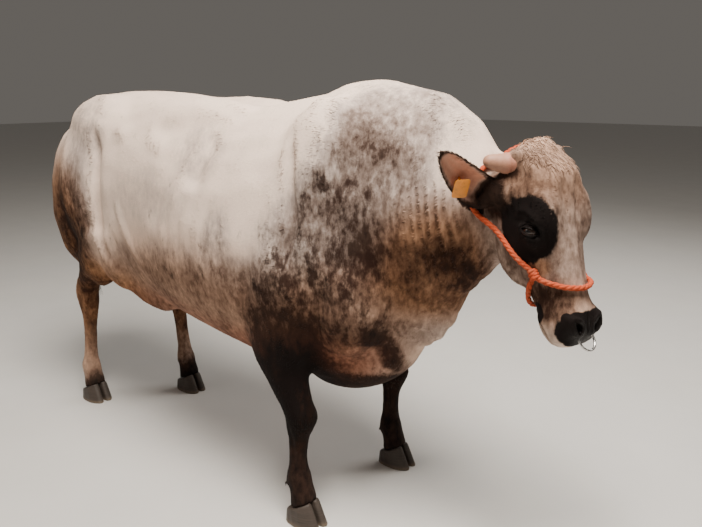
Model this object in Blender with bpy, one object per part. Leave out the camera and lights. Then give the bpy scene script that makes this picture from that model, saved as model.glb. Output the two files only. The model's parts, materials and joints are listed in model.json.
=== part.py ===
"""A Piedmontese bull, standing still with its head hanging, at life size.

Metres, +Z up. The bull faces +X, its left side is +Y, and the midpoint of its bounding box's base ends at the origin.
It is modelled whole from closed masses, fused, and parted into its named pieces by thin cuts.
"""

import math
import random

import bmesh
import bpy
import numpy as np
from mathutils import Matrix, Vector
from mathutils.bvhtree import BVHTree

# Driving dimensions. While it is modelled, x = 0 lies between the forefeet.
RUMP_HEIGHT = 1.53
WHEELBASE = 1.41
FORE_TREAD = 0.548
HIND_TREAD = 0.38
HIND_STRIDE = 0.27
CUT = 0.0003

# The mesh that the masses are fused on, and the triangles that it is thinned to.
FUSE_VOXEL = 0.0075
FLESH_TRIANGLES = 5800

# The head: where its brow line starts at the poll, how far that line leans from upright, and its length.
POLL = (0.731, 1.392)
FACE_LEAN = math.radians(15.0)
# How far the head is turned to its right about an upright line through the poll, then set forwards and right.
HEAD_TURN = math.radians(-15.0)
HEAD_SHIFT = (0.056, -0.032)
HEAD_SIZE = 0.97
HEAD_LENGTH = 0.595

EYE_RADIUS = 0.023
EYE_DOWN, EYE_BACK, EYE_OUT = 0.243, 0.080, 0.120

COAT = (0.80, 0.76, 0.72, 1)
HORN = (0.72, 0.56, 0.47, 1)
HOOF = (0.05, 0.04, 0.04, 1)
EYE = (0.03, 0.02, 0.02, 1)
ROPE = (0.75, 0.20, 0.07, 1)
TAG = (0.90, 0.52, 0.10, 1)
STEEL = (0.72, 0.72, 0.72, 1)
DARK_HAIR = (0.06, 0.05, 0.05, 1)

SIDES = {"R": -1, "L": 1}


def clear_scene():
    for old in list(bpy.data.objects):
        bpy.data.objects.remove(old)


def material(name, colour, roughness, metallic=0.0):
    made = bpy.data.materials.new(name)
    made.use_nodes = True
    shader = made.node_tree.nodes["Principled BSDF"]
    shader.inputs["Base Color"].default_value = colour
    shader.inputs["Roughness"].default_value = roughness
    shader.inputs["Metallic"].default_value = metallic
    return made


def add_object(name, mesh):
    made = bpy.data.objects.new(name, mesh)
    bpy.context.scene.collection.objects.link(made)
    return made


def from_bmesh(name, shape):
    mesh = bpy.data.meshes.new(name)
    shape.to_mesh(mesh)
    shape.free()
    return add_object(name, mesh)


def with_modifiers_applied(obj):
    """Gives the object the mesh that its modifiers make, and drops them."""
    bpy.context.view_layer.update()
    graph = bpy.context.evaluated_depsgraph_get()
    mesh = bpy.data.meshes.new_from_object(obj.evaluated_get(graph))
    obj.modifiers.clear()
    obj.data = mesh
    return obj


def joined(name, objects):
    """One object that holds the meshes of several, each still a closed shell of its own."""
    shape = bmesh.new()
    for obj in objects:
        mesh = obj.data.copy()
        mesh.transform(obj.matrix_basis)
        shape.from_mesh(mesh)
        bpy.data.objects.remove(obj)
    return from_bmesh(name, shape)


def boolean(obj, operation, others, solver="MANIFOLD"):
    """Joins or cuts an object by several closed ones at once, and removes them."""
    group = bpy.data.collections.new("cutters")
    bpy.context.scene.collection.children.link(group)
    for other in others:
        group.objects.link(other)
    change = obj.modifiers.new("boolean", "BOOLEAN")
    change.operation = operation
    change.operand_type = "COLLECTION"
    change.collection = group
    change.solver = solver
    with_modifiers_applied(obj)
    for other in others:
        bpy.data.objects.remove(other)
    bpy.data.collections.remove(group)
    return obj


def shells(mesh):
    """The closed surfaces in a mesh, each a list of face indices."""
    shape = bmesh.new()
    shape.from_mesh(mesh)
    seen, found = set(), []
    for start in shape.faces:
        if start.index in seen:
            continue
        seen.add(start.index)
        stack, shell = [start], []
        while stack:
            face = stack.pop()
            shell.append(face.index)
            for edge in face.edges:
                for near in edge.link_faces:
                    if near.index not in seen:
                        seen.add(near.index)
                        stack.append(near)
        found.append(shell)
    shape.free()
    return found


def only_faces(name, mesh, wanted):
    """A new object with only these faces of a mesh."""
    wanted = set(wanted)
    shape = bmesh.new()
    shape.from_mesh(mesh)
    unwanted = [face for face in shape.faces if face.index not in wanted]
    bmesh.ops.delete(shape, geom=unwanted, context="FACES")
    bmesh.ops.triangulate(shape, faces=shape.faces[:])
    return from_bmesh(name, shape)


def largest_shell(obj):
    found = shells(obj.data)
    if len(found) == 1:
        return obj
    kept = only_faces(obj.name + "_kept", obj.data, max(found, key=len))
    obj.data = kept.data
    bpy.data.objects.remove(kept)
    return obj


# Shapes

def section(top, bottom, half_width, widest, power, count=32):
    """A closed ring in the upright plane through two midline points (x, z).

    It is widest at that share of its height, and power 2 makes it an ellipse.
    """
    top, bottom = Vector((top[0], 0, top[1])), Vector((bottom[0], 0, bottom[1]))
    middle = bottom.lerp(top, widest)
    ring = []
    for k in range(count):
        turn = math.tau * k / count
        up, out = math.cos(turn), math.sin(turn)
        reach = top - middle if up > 0 else bottom - middle
        share = abs(up) ** (2 / power)
        side = math.copysign(abs(out) ** (2 / power), out)
        ring.append(middle + reach * share + Vector((0, half_width * side, 0)))
    return ring


def level_ring(centre, half_depth, half_width, count=20):
    """A level oval ring round a limb."""
    return [
        Vector(centre) + Vector((
            half_depth * math.cos(math.tau * k / count),
            half_width * math.sin(math.tau * k / count),
            0,
        ))
        for k in range(count)
    ]


def eased(rows, steps):
    """More rows between these, on a smooth curve through each column."""
    table = np.array(rows, float)
    padded = np.vstack([2 * table[0] - table[1], table, 2 * table[-1] - table[-2]])
    made = []
    for k in range(len(table) - 1):
        before, start, end, after = padded[k : k + 4]
        for step in range(steps):
            t = step / steps
            made.append(
                start
                + 0.5 * t * (end - before)
                + t * t * (before - 2.5 * start + 2 * end - 0.5 * after)
                + t**3 * (1.5 * (start - end) + 0.5 * (after - before))
            )
    made.append(table[-1])
    return made


def loft(name, rings):
    """A closed skin over rings of equal length, with its ends capped."""
    shape = bmesh.new()
    loops = [[shape.verts.new(point) for point in ring] for ring in rings]
    for near, far in zip(loops, loops[1:]):
        for k in range(len(near)):
            after = (k + 1) % len(near)
            shape.faces.new((near[k], near[after], far[after], far[k]))
    shape.faces.new(loops[0][::-1])
    shape.faces.new(loops[-1])
    bmesh.ops.recalc_face_normals(shape, faces=shape.faces[:])
    return from_bmesh(name, shape)


def blob(centre, radii, tilt=(0, 0, 0), detail=4):
    """An ellipsoid, turned by three angles in degrees."""
    shape = bmesh.new()
    bmesh.ops.create_icosphere(shape, subdivisions=detail, radius=1)
    turn = Matrix.Rotation(math.radians(tilt[2]), 4, "Z") @ Matrix.Rotation(
        math.radians(tilt[1]), 4, "Y") @ Matrix.Rotation(math.radians(tilt[0]), 4, "X")
    place = Matrix.Translation(centre) @ turn @ Matrix.Diagonal((*radii, 1))
    bmesh.ops.transform(shape, matrix=place, verts=shape.verts)
    return from_bmesh("mass", shape)


def pair(centre, radii, tilt=(0, 0, 0)):
    """The same mass on both sides. The centre and the tilt are those of the left one."""
    x, y, z = centre
    return [
        blob((x, y, z), radii, tilt),
        blob((x, -y, z), radii, (-tilt[0], tilt[1], -tilt[2])),
    ]


def tube(name, path, radii, sides=10):
    """A capped tube along a path, with a radius at each point."""
    path = [Vector(p) for p in path]
    rings, side = [], None
    for k, point in enumerate(path):
        along = (path[min(k + 1, len(path) - 1)] - path[max(k - 1, 0)]).normalized()
        if side is None:
            side = along.orthogonal().normalized()
        side = (side - along * side.dot(along)).normalized()
        across = along.cross(side)
        rings.append([
            point + float(radii[k]) * (
                side * math.cos(math.tau * j / sides) + across * math.sin(math.tau * j / sides))
            for j in range(sides)
        ])
    return loft(name, rings)


def smooth_path(points, steps):
    return [Vector(row) for row in eased([tuple(p) for p in points], steps)]


def plate(centre, normal, width, height, thickness=CUT):
    """A thin cutter, square to its normal. Its height runs as near to +Z as it can."""
    normal = Vector(normal).normalized()
    up = Vector((0, 0, 1)) if abs(normal.z) < 0.95 else Vector((1, 0, 0))
    up = (up - normal * up.dot(normal)).normalized()
    across = up.cross(normal)
    frame = Matrix((across, up, normal)).transposed().to_4x4()
    shape = bmesh.new()
    bmesh.ops.create_cube(shape, size=1)
    size = Matrix.Diagonal((width, height, thickness, 1))
    bmesh.ops.transform(
        shape, matrix=Matrix.Translation(centre) @ frame @ size, verts=shape.verts)
    return from_bmesh("plate", shape)


# The body's masses

def head_turn():
    """Turns what is modelled straight ahead into the head's own pose, and scales it about the poll."""
    there = Matrix.Translation((POLL[0] + HEAD_SHIFT[0], HEAD_SHIFT[1], POLL[1]))
    back = Matrix.Translation((-POLL[0], 0, -POLL[1]))
    return there @ Matrix.Rotation(HEAD_TURN, 4, "Z") @ Matrix.Scale(HEAD_SIZE, 4) @ back


def turned_way(way):
    return (head_turn().to_3x3() @ Vector(way)).normalized()


def straight_point(down, forward, out=0.0):
    """A point of the head before it is turned, from its distances down the face, in front of it and out to the left."""
    lean_sin, lean_cos = math.sin(FACE_LEAN), math.cos(FACE_LEAN)
    return Vector((
        POLL[0] + down * lean_sin + forward * lean_cos,
        out,
        POLL[1] - down * lean_cos + forward * lean_sin,
    ))


def head_point(down, forward, out=0.0):
    return head_turn() @ straight_point(down, forward, out)


def head_blob(down, forward, out, radii, tilt=(0, 0, 0)):
    """A mass of the head. Its radii are down the face, forward and out."""
    down_r, forward_r, out_r = radii
    lean = math.degrees(FACE_LEAN)
    centre = straight_point(down, forward, out)
    turned = (tilt[0], -lean + tilt[1], tilt[2])
    size = (forward_r, out_r, down_r)
    if out == 0:
        return [blob(centre, size, turned)]
    return pair(centre, size, turned)


def trunk():
    """Rump, barrel, shoulders and neck: one skin over upright and fanned sections."""
    # top x, top z, bottom x, bottom z, half width, where it is widest, squareness
    rows = [
        (-1.585, 1.390, -1.600, 1.000, 0.150, 0.55, 2.0),
        (-1.510, 1.465, -1.520, 0.800, 0.235, 0.56, 2.1),
        (-1.390, 1.512, -1.390, 0.690, 0.290, 0.56, 2.2),
        (-1.150, 1.522, -1.140, 0.610, 0.315, 0.52, 2.3),
        (-0.850, 1.508, -0.840, 0.575, 0.345, 0.49, 2.35),
        (-0.620, 1.474, -0.600, 0.545, 0.372, 0.47, 2.3),
        (-0.420, 1.466, -0.390, 0.520, 0.383, 0.46, 2.25),
        (-0.240, 1.492, -0.190, 0.490, 0.372, 0.46, 2.2),
        (-0.080, 1.518, 0.020, 0.470, 0.340, 0.47, 2.1),
        (0.060, 1.548, 0.180, 0.540, 0.300, 0.50, 2.0),
        (0.190, 1.552, 0.295, 0.670, 0.255, 0.52, 1.95),
        (0.310, 1.530, 0.380, 0.760, 0.215, 0.54, 1.9),
        (0.420, 1.478, 0.450, 0.840, 0.185, 0.56, 1.9),
        (0.515, 1.400, 0.510, 0.910, 0.146, 0.60, 1.9),
        (0.600, 1.320, 0.575, 0.975, 0.100, 0.62, 1.9),
    ]
    rings = [
        section((tx, tz), (bx, bz), width, widest, power, 40)
        for tx, tz, bx, bz, width, widest, power in eased(rows, 5)
    ]
    return [loft("trunk", rings)]


def trunk_muscles():
    """The double muscling of the breed, and what hangs under the body."""
    masses = []
    # Hindquarters: rump, outer thigh, rear thigh and the muscle over the stifle.
    masses += pair((-1.230, 0.135, 1.335), (0.300, 0.170, 0.175), (0, 6, 0))
    masses += pair((-1.320, 0.185, 1.090), (0.270, 0.160, 0.330), (0, -8, 0))
    masses += pair((-1.530, 0.158, 1.030), (0.160, 0.150, 0.350), (0, 4, 0))
    masses += pair((-1.170, 0.215, 0.890), (0.165, 0.110, 0.250), (0, -20, 0))
    # Loin and back, either side of the spine, and the point of the hip.
    masses += pair((-0.780, 0.120, 1.388), (0.480, 0.130, 0.110), (0, -3, 0))
    masses += pair((-1.000, 0.215, 1.330), (0.080, 0.085, 0.070))
    # Shoulder blade, triceps and point of shoulder.
    masses += pair((0.010, 0.165, 1.190), (0.200, 0.150, 0.330), (0, 14, 0))
    masses += pair((-0.110, 0.225, 0.930), (0.215, 0.145, 0.250), (0, -14, 0))
    masses += pair((0.150, 0.175, 0.860), (0.150, 0.130, 0.230), (0, 10, 0))
    # The crest of a mature bull, from withers to nape, and the side of the neck.
    masses.append(blob((0.130, 0, 1.395), (0.280, 0.165, 0.168), (0, 4, 0)))
    masses.append(blob((0.350, 0, 1.360), (0.230, 0.140, 0.155), (0, 30, 0)))
    masses += pair((0.298, 0.096, 1.160), (0.232, 0.128, 0.220), (0, 20, 0))
    # Brisket between the forelegs, and the fold of the dewlap above it.
    masses.append(blob((0.042, 0, 0.642), (0.292, 0.180, 0.192), (0, -24, 0)))
    masses.append(blob((0.330, 0, 0.830), (0.130, 0.060, 0.210), (0, 32, 0)))
    # Flank fold, sheath and scrotum.
    masses += pair((-1.010, 0.165, 0.720), (0.230, 0.085, 0.130), (0, 16, 0))
    masses.append(blob((-0.760, 0, 0.555), (0.150, 0.050, 0.065), (0, 8, 0)))
    masses.append(blob((-1.235, 0, 0.700), (0.065, 0.060, 0.120)))
    masses += pair((-1.235, 0.040, 0.615), (0.062, 0.052, 0.095))
    # The root of the tail over the rump's end.
    masses.append(blob((-1.560, 0, 1.430), (0.110, 0.045, 0.060), (0, -30, 0)))
    return masses


def head_masses():
    # down the face, front, back, half width, where it is widest, squareness
    rows = [
        (-0.004, -0.075, -0.120, 0.045, 0.5, 2.0),
        (0.020, -0.046, -0.165, 0.068, 0.6, 2.1),
        (0.050, -0.020, -0.210, 0.085, 0.62, 2.2),
        (0.090, -0.003, -0.240, 0.098, 0.62, 2.3),
        (0.150, 0.002, -0.262, 0.112, 0.62, 2.4),
        (0.235, -0.004, -0.272, 0.106, 0.60, 2.4),
        (0.305, -0.010, -0.256, 0.091, 0.58, 2.3),
        (0.375, -0.012, -0.222, 0.077, 0.60, 2.3),
        (0.440, -0.008, -0.186, 0.071, 0.60, 2.3),
        (0.500, -0.002, -0.164, 0.071, 0.58, 2.3),
        (0.550, -0.008, -0.154, 0.067, 0.55, 2.3),
        (0.580, -0.026, -0.140, 0.056, 0.52, 2.2),
        (0.594, -0.050, -0.115, 0.030, 0.5, 2.0),
    ]
    rings = []
    for down, front, back, width, widest, power in eased(rows, 4):
        near, far = straight_point(down, front), straight_point(down, back)
        rings.append(section((near.x, near.z), (far.x, far.z), width, widest, power))
    masses = [loft("skull", rings)]
    # Brow and orbit, cheek, angle of the jaw, ridge of the cheek.
    masses += head_blob(0.200, -0.045, 0.070, (0.095, 0.044, 0.050))
    masses += head_blob(0.242, -0.080, 0.086, (0.060, 0.056, 0.036))
    masses += head_blob(0.285, -0.165, 0.060, (0.125, 0.088, 0.046))
    masses += head_blob(0.200, -0.205, 0.056, (0.090, 0.072, 0.046))
    masses += head_blob(0.345, -0.080, 0.052, (0.110, 0.040, 0.030))
    # Poll, the roots of the horns and the roots of the ears.
    masses += head_blob(0.018, -0.096, 0.0, (0.046, 0.050, 0.060))
    masses += head_blob(0.042, -0.120, 0.062, (0.050, 0.056, 0.045))
    masses += head_blob(0.115, -0.165, 0.085, (0.058, 0.060, 0.056))
    # Wings of the nostrils, upper lip, chin and lower lip.
    masses += head_blob(0.520, -0.030, 0.044, (0.046, 0.036, 0.036))
    masses += head_blob(0.548, -0.066, 0.034, (0.048, 0.048, 0.042))
    masses += head_blob(0.536, -0.122, 0.0, (0.050, 0.040, 0.058))
    masses += head_blob(0.500, -0.108, 0.050, (0.060, 0.030, 0.026))
    # The nape and the throat, which lead the turned head into the straight neck.
    masses += head_blob(0.120, -0.250, 0.0, (0.130, 0.130, 0.098))
    masses += head_blob(0.235, -0.262, 0.0, (0.115, 0.085, 0.072))
    for mass in masses:
        mass.data.transform(head_turn())
    return masses


def dewclaws(x, y):
    """The pair of small claws behind a fetlock."""
    return [
        blob((x, y + side * 0.021, 0.142), (0.017, 0.013, 0.024), (0, 20, 0))
        for side in SIDES.values()
    ]


def fore_leg(side):
    """Forearm, knee, cannon, fetlock and pastern, over a foot beside the midline."""
    out = side * FORE_TREAD / 2
    # height, forward of the foot, share of the foot's distance out, half depth, half width
    rows = [
        (0.840, -0.125, 0.86, 0.160, 0.098),
        (0.720, -0.132, 0.91, 0.150, 0.095),
        (0.620, -0.116, 0.95, 0.122, 0.083),
        (0.530, -0.074, 0.98, 0.092, 0.069),
        (0.460, -0.030, 1.0, 0.070, 0.060),
        (0.415, -0.002, 1.0, 0.063, 0.062),
        (0.370, -0.006, 1.0, 0.055, 0.055),
        (0.325, -0.016, 1.0, 0.043, 0.041),
        (0.260, -0.020, 1.0, 0.039, 0.036),
        (0.210, -0.020, 1.0, 0.042, 0.039),
        (0.170, -0.018, 1.0, 0.051, 0.049),
        (0.135, -0.008, 1.0, 0.047, 0.049),
        (0.100, 0.002, 1.0, 0.049, 0.053),
        (0.040, 0.006, 1.0, 0.052, 0.055),
    ]
    rings = [
        level_ring((forward, out * share, height), depth, width)
        for height, forward, share, depth, width in eased(rows, 4)
    ]
    masses = [loft("foreleg", rings)]
    # The elbow's point, the outer forearm muscle, and the bone behind the knee.
    masses.append(blob((-0.225, out * 0.88, 0.735), (0.055, 0.050, 0.075), (0, 20, 0)))
    masses.append(blob((-0.060, out * 1.02, 0.640), (0.080, 0.058, 0.125), (0, 12, 0)))
    masses.append(blob((-0.050, out, 0.420), (0.024, 0.030, 0.034)))
    return masses + dewclaws(-0.058, out)


HOCK_BACK = {-1: 0.012, 1: 0.068}


def hind_leg(side, foot_x):
    """Gaskin, hock, cannon, fetlock and pastern, over a foot beside the midline."""
    foot_y = side * HIND_TREAD / 2
    hock_x, hock_y = foot_x - HOCK_BACK[side], foot_y * 0.93
    stifle_x, stifle_y = -1.190, side * 0.235
    # height, share of the way from hock to stifle, half depth, half width
    upper = [
        (0.920, 1.00, 0.200, 0.110),
        (0.820, 0.72, 0.165, 0.100),
        (0.735, 0.47, 0.118, 0.083),
        (0.665, 0.24, 0.086, 0.064),
        (0.610, 0.08, 0.072, 0.055),
    ]
    rows = [
        (
            height,
            hock_x + (stifle_x - hock_x) * share,
            hock_y + (stifle_y - hock_y) * share,
            depth,
            width,
        )
        for height, share, depth, width in upper
    ]
    # height, forward of the hock, half depth, half width
    lower = [
        (0.555, -0.002, 0.070, 0.054),
        (0.505, 0.006, 0.059, 0.051),
        (0.450, 0.009, 0.046, 0.042),
        (0.380, 0.004, 0.040, 0.035),
        (0.280, -0.006, 0.038, 0.034),
        (0.220, -0.012, 0.042, 0.038),
        (0.180, -0.016, 0.051, 0.049),
        (0.140, -0.006, 0.047, 0.048),
        (0.100, 0.004, 0.049, 0.053),
        (0.040, 0.008, 0.052, 0.055),
    ]
    for height, forward, depth, width in lower:
        share = min(1.0, max(0.0, (height - 0.18) / 0.37))
        rows.append((
            height,
            foot_x + (hock_x - foot_x) * share + forward,
            foot_y + (hock_y - foot_y) * share,
            depth,
            width,
        ))
    rings = [
        level_ring((x, y, height), depth, width)
        for height, x, y, depth, width in eased(rows, 4)
    ]
    masses = [loft("hindleg", rings)]
    # The point of the hock and the tendon above it, and the outer gaskin.
    masses.append(blob((hock_x - 0.062, hock_y, 0.590), (0.026, 0.027, 0.060), (0, 12, 0)))
    gaskin = 0.55
    masses.append(blob(
        (hock_x + (stifle_x - hock_x) * gaskin, hock_y + (stifle_y - hock_y) * gaskin, 0.750),
        (0.110, 0.082, 0.130), (0, -38, 0)))
    return masses + dewclaws(foot_x - 0.056, foot_y)


def hind_feet():
    """Where each hind foot stands: the right one is a stride behind the left."""
    return {
        "R": -WHEELBASE - HIND_STRIDE / 2,
        "L": -WHEELBASE + HIND_STRIDE / 2,
    }


def smoothstep(value, low, high):
    share = np.clip((value - low) / (high - low), 0, 1)
    return share * share * (3 - 2 * share)


def weights(obj, name, values):
    group = obj.vertex_groups.new(name=name)
    for level in np.unique(np.round(values, 2)):
        members = np.nonzero(np.round(values, 2) == level)[0]
        group.add(members.tolist(), float(level), "REPLACE")
    return name


def points_of(mesh):
    flat = np.empty(len(mesh.vertices) * 3)
    mesh.vertices.foreach_get("co", flat)
    return flat.reshape(-1, 3)


def relax(obj, group, passes):
    smooth = obj.modifiers.new("smooth", "SMOOTH")
    smooth.factor = 0.5
    smooth.iterations = passes
    if group:
        smooth.vertex_group = group


def fused_flesh():
    """All masses as one skin, soft where muscle meets muscle and crisper on head and legs."""
    masses = trunk() + trunk_muscles() + head_masses()
    for name, side in SIDES.items():
        masses += fore_leg(side)
        masses += hind_leg(side, hind_feet()[name])
    flesh = joined("flesh", masses)
    fuse = flesh.modifiers.new("fuse", "REMESH")
    fuse.mode = "VOXEL"
    fuse.voxel_size = FUSE_VOXEL
    with_modifiers_applied(flesh)
    at = points_of(flesh.data)
    off_head = 1 - smoothstep(at[:, 0], 0.48, 0.60)
    off_legs = smoothstep(at[:, 2], 0.56, 0.74)
    body = weights(flesh, "body", off_head * off_legs)
    relax(flesh, None, 10)
    relax(flesh, body, 90)
    with_modifiers_applied(flesh)
    return thinned(flesh, FLESH_TRIANGLES)


def thinned(obj, triangles):
    """Fewer triangles, with more of them kept on the head and the lower legs."""
    at = points_of(obj.data)
    on_head = smoothstep(at[:, 0], 0.50, 0.62)
    on_muzzle_or_eye = smoothstep(at[:, 0], 0.68, 0.74)
    on_legs = 1 - smoothstep(at[:, 2], 0.40, 0.66)
    spared = np.clip(0.50 * on_head + 0.14 * on_muzzle_or_eye * on_head + 0.42 * on_legs, 0, 0.92)
    obj.vertex_groups.clear()
    thin = obj.modifiers.new("thin", "DECIMATE")
    thin.ratio = triangles / (2 * len(obj.data.polygons))
    thin.vertex_group = weights(obj, "thin", 1 - spared)
    thin.vertex_group_factor = 1.0
    with_modifiers_applied(obj)
    obj.vertex_groups.clear()
    return obj


# What grows from the flesh

def head_vector(down, forward, out):
    return (head_point(down, forward, out) - head_point(0, 0, 0)).normalized()


EAR_ROOT = (0.118, -0.165, 0.085)
# The right ear stands out to the side. The left one is laid back.
EAR_REST = {-1: ((0.100, -0.190, 0.180), (-0.010, -0.150, 0.330)), 1: ((0.098, -0.192, 0.172), (0.080, -0.222, 0.285))}
EAR_FACING = {-1: (0.78, -0.52, -0.20), 1: (0.80, 0.40, -0.20)}
HORN_ROOT, HORN_BEND, HORN_TIP = (0.042, -0.118, 0.060), (0.036, -0.134, 0.112), (0.024, -0.152, 0.158)
TAIL = [
    (-1.560, 0, 1.420), (-1.645, 0, 1.405), (-1.702, 0, 1.330), (-1.722, -0.006, 1.200),
    (-1.728, -0.024, 1.000), (-1.722, -0.050, 0.800),
]
TAIL_RADII = [0.040, 0.036, 0.031, 0.026, 0.021, 0.017]


def sided(place, side):
    down, forward, out = place
    return head_point(down, forward, side * out)


def ear_frames(side, steps=12):
    """Points along an ear with its width and its back, opening forwards and a little down."""
    path = smooth_path([sided(place, side) for place in (EAR_ROOT, *EAR_REST[side])], steps // 2)
    facing = turned_way(EAR_FACING[side])
    frames = []
    for k, point in enumerate(path):
        along = (path[min(k + 1, len(path) - 1)] - path[max(k - 1, 0)]).normalized()
        back = -(facing - along * facing.dot(along)).normalized()
        frames.append((point, side * along.cross(back), back))
    return frames


def ear_half_width(share):
    return 0.021 * (1 - share) ** 0.5 + 0.038 * max(math.sin(math.pi * share**1.12), 0) ** 0.9 + 0.003


def ear(name, side):
    """A leaf-shaped cup: a solid root that opens into a hollow with thin rims."""
    frames = ear_frames(side)
    rings = []
    for k, (point, wide, back) in enumerate(frames):
        share = k / (len(frames) - 1)
        width = ear_half_width(share)
        depth = 0.034 * (1 - share) ** 0.8 + 0.008
        wall = 0.0075 - 0.003 * share
        cup = smoothstep(share, 0.12, 0.50)
        outer = [(s, depth * (1 - abs(s) ** 2.2)) for s in np.linspace(-1, 1, 9)]
        inner = []
        for s in np.linspace(1, -1, 9):
            solid = -0.020 * (1 - s * s)
            hollow = depth * (1 - abs(s) ** 2.2) - wall
            inner.append((s * (1 - wall / width * cup), solid * (1 - cup) + hollow * cup))
        rings.append([point + wide * (s * width) + back * b for s, b in outer + inner])
    return loft(name, rings)


def horn(name, side):
    path = smooth_path([sided(place, side) for place in (HORN_ROOT, HORN_BEND, HORN_TIP)], 4)
    radii = [0.036 - 0.019 * (k / (len(path) - 1)) ** 1.3 for k in range(len(path))]
    end, along = path[-1], (path[-1] - path[-2]).normalized()
    for step, radius in ((0.006, 0.0135), (0.010, 0.0075)):
        path.append(end + along * step)
        radii.append(radius)
    return tube(name, path, radii, 14)


def tail():
    path = smooth_path(TAIL, 4)
    radii = [row[0] for row in eased([(r,) for r in TAIL_RADII], 4)]
    return tube("tail", path, radii, 12)


# Eyes, nostrils and mouth

def eye_frame(side):
    """The middle of an eye, and the ways out of it, along its slit, and across that."""
    centre = head_point(EYE_DOWN, -EYE_BACK, side * (EYE_OUT - EYE_RADIUS))
    out = head_vector(-0.04, 0.34, side * 0.94)
    slit = head_vector(math.sin(math.radians(25)), math.cos(math.radians(25)), 0)
    slit = (slit - out * slit.dot(out)).normalized()
    return centre, out, slit, out.cross(slit)


def eyeball(name, side, more=0.0):
    shape = bmesh.new()
    bmesh.ops.create_uvsphere(shape, u_segments=14, v_segments=9, radius=EYE_RADIUS + more)
    bmesh.ops.translate(shape, verts=shape.verts, vec=eye_frame(side)[0])
    return from_bmesh(name, shape)


def lids(side):
    """The upper and lower lid, each a bent roll over the eye from corner to corner."""
    centre, out, slit, across = eye_frame(side)
    made = []
    for way, rise in ((1, 0.66), (-1, 0.56)):
        path, radii = [], []
        for k in range(9):
            turn = math.radians(-78 + 156 * k / 8)
            lift = way * rise * math.cos(turn) * (1 if way * across.z > 0 else 0.9)
            ray = (out * math.cos(turn) + slit * math.sin(turn) * 1.12 + across * lift).normalized()
            path.append(centre + ray * (EYE_RADIUS + 0.0042))
            radii.append(0.0048 + 0.0022 * math.cos(turn))
        made.append(tube("lid", path, radii, 5))
    return made


def slit_cutter(side):
    """An almond hollow that bares the eye between the lids."""
    centre, out, slit, across = eye_frame(side)
    frame = Matrix((out, slit, across)).transposed().to_4x4()
    shape = bmesh.new()
    bmesh.ops.create_icosphere(shape, subdivisions=2, radius=1)
    size = Matrix.Diagonal((0.030, 0.0255, 0.0130, 1))
    bmesh.ops.transform(
        shape,
        matrix=Matrix.Translation(centre + out * 0.019) @ frame @ size,
        verts=shape.verts)
    return from_bmesh("slit", shape)


NOSTRIL = [
    ((0.548, -0.020, 0.030), 0.0070), ((0.538, -0.013, 0.038), 0.0125), ((0.524, -0.011, 0.048), 0.0115),
    ((0.511, -0.017, 0.056), 0.0070), ((0.504, -0.027, 0.061), 0.0040),
]


def nostril_cutters(side):
    """A comma that curls up and out from a round pit, and the passage behind it."""
    path = smooth_path([sided(place, side) for place, _ in NOSTRIL], 2)
    radii = [row[0] for row in eased([(radius,) for _, radius in NOSTRIL], 2)]
    passage = sided((0.526, -0.028, 0.040), side)
    lean = math.degrees(FACE_LEAN)
    return [
        tube("nostril", path, radii, 8),
        blob(passage, (0.024, 0.011, 0.014), (0, -lean, side * 20 + math.degrees(HEAD_TURN)), 2),
    ]


MOUTH = [
    (0.572, -0.098, 0.000), (0.568, -0.100, 0.030), (0.550, -0.108, 0.055),
    (0.520, -0.122, 0.070), (0.490, -0.134, 0.076), (0.474, -0.139, 0.076),
]


def mouth_cutter(tree):
    """A narrow groove round the muzzle, from corner to corner of the mouth."""
    right = [Vector(place) for place in MOUTH[::-1]]
    places = [(d, f, -o) for d, f, o in right] + [tuple(place) for place in MOUTH[1:]]
    path = smooth_path([head_point(*place) for place in places], 3)
    core = head_point(0.500, -0.110, 0)
    rings = []
    for k, point in enumerate(path):
        hit = tree.ray_cast(core + (point - core) * 3, core - point)
        spot, normal = hit[0], hit[1]
        along = (path[min(k + 1, len(path) - 1)] - path[max(k - 1, 0)]).normalized()
        normal = (normal - along * normal.dot(along)).normalized()
        across = along.cross(normal)
        open_to = 0.0050 if 0 < k < len(path) - 1 else 0.0015
        deep = 0.012 if 0 < k < len(path) - 1 else 0.004
        rings.append([
            spot + across * open_to + normal * 0.010,
            spot - across * open_to + normal * 0.010,
            spot - across * 0.0012 - normal * deep,
            spot + across * 0.0012 - normal * deep,
        ])
    return loft("mouth", rings)


# Feet

CORONET_FRONT, CORONET_BACK = 0.086, 0.050
TOE, HEEL, SOLE_HALF_WIDTH = 0.096, -0.052, 0.060


def coronet_height(forward):
    share = (forward + 0.050) / 0.105
    return CORONET_BACK + (CORONET_FRONT - CORONET_BACK) * share


def coronet_plate(foot_x, foot_y):
    slope = (CORONET_FRONT - CORONET_BACK) / 0.105
    return plate((foot_x + 0.004, foot_y, coronet_height(0.004)), (-slope, 0, 1), 0.20, 0.20)


def claw(name, foot_x, foot_y, out):
    """One claw of a foot, on the side of the foot's cleft that `out` gives."""
    rings = []
    for share, toe, heel, wide in (
        (0.00, 0.053, -0.046, 0.053),
        (0.10, 0.058, -0.048, 0.055),
        (0.55, 0.077, -0.050, 0.057),
        (1.00, TOE, HEEL, SOLE_HALF_WIDTH),
    ):
        ring = []
        for k in range(14):
            turn = math.tau * k / 14
            ahead, across = math.cos(turn), math.sin(turn)
            ahead = math.copysign(abs(ahead) ** 0.85, ahead)
            across = 0.5 + 0.5 * math.copysign(abs(across) ** (0.80 if across > 0 else 0.45), across)
            across *= 1 - 0.30 * max(0.0, ahead) ** 2
            x = (toe + heel) / 2 + (toe - heel) / 2 * ahead
            y = 0.0015 + (wide - 0.0015) * across
            top = coronet_height(x if share == 0 else min(x, 0.053 + 0.4 * (x - 0.053))) - CUT
            ring.append(Vector((foot_x + x, foot_y + out * y, top * (1 - share))))
        rings.append(ring)
    return loft(name, rings)


# What the bull wears

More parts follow.
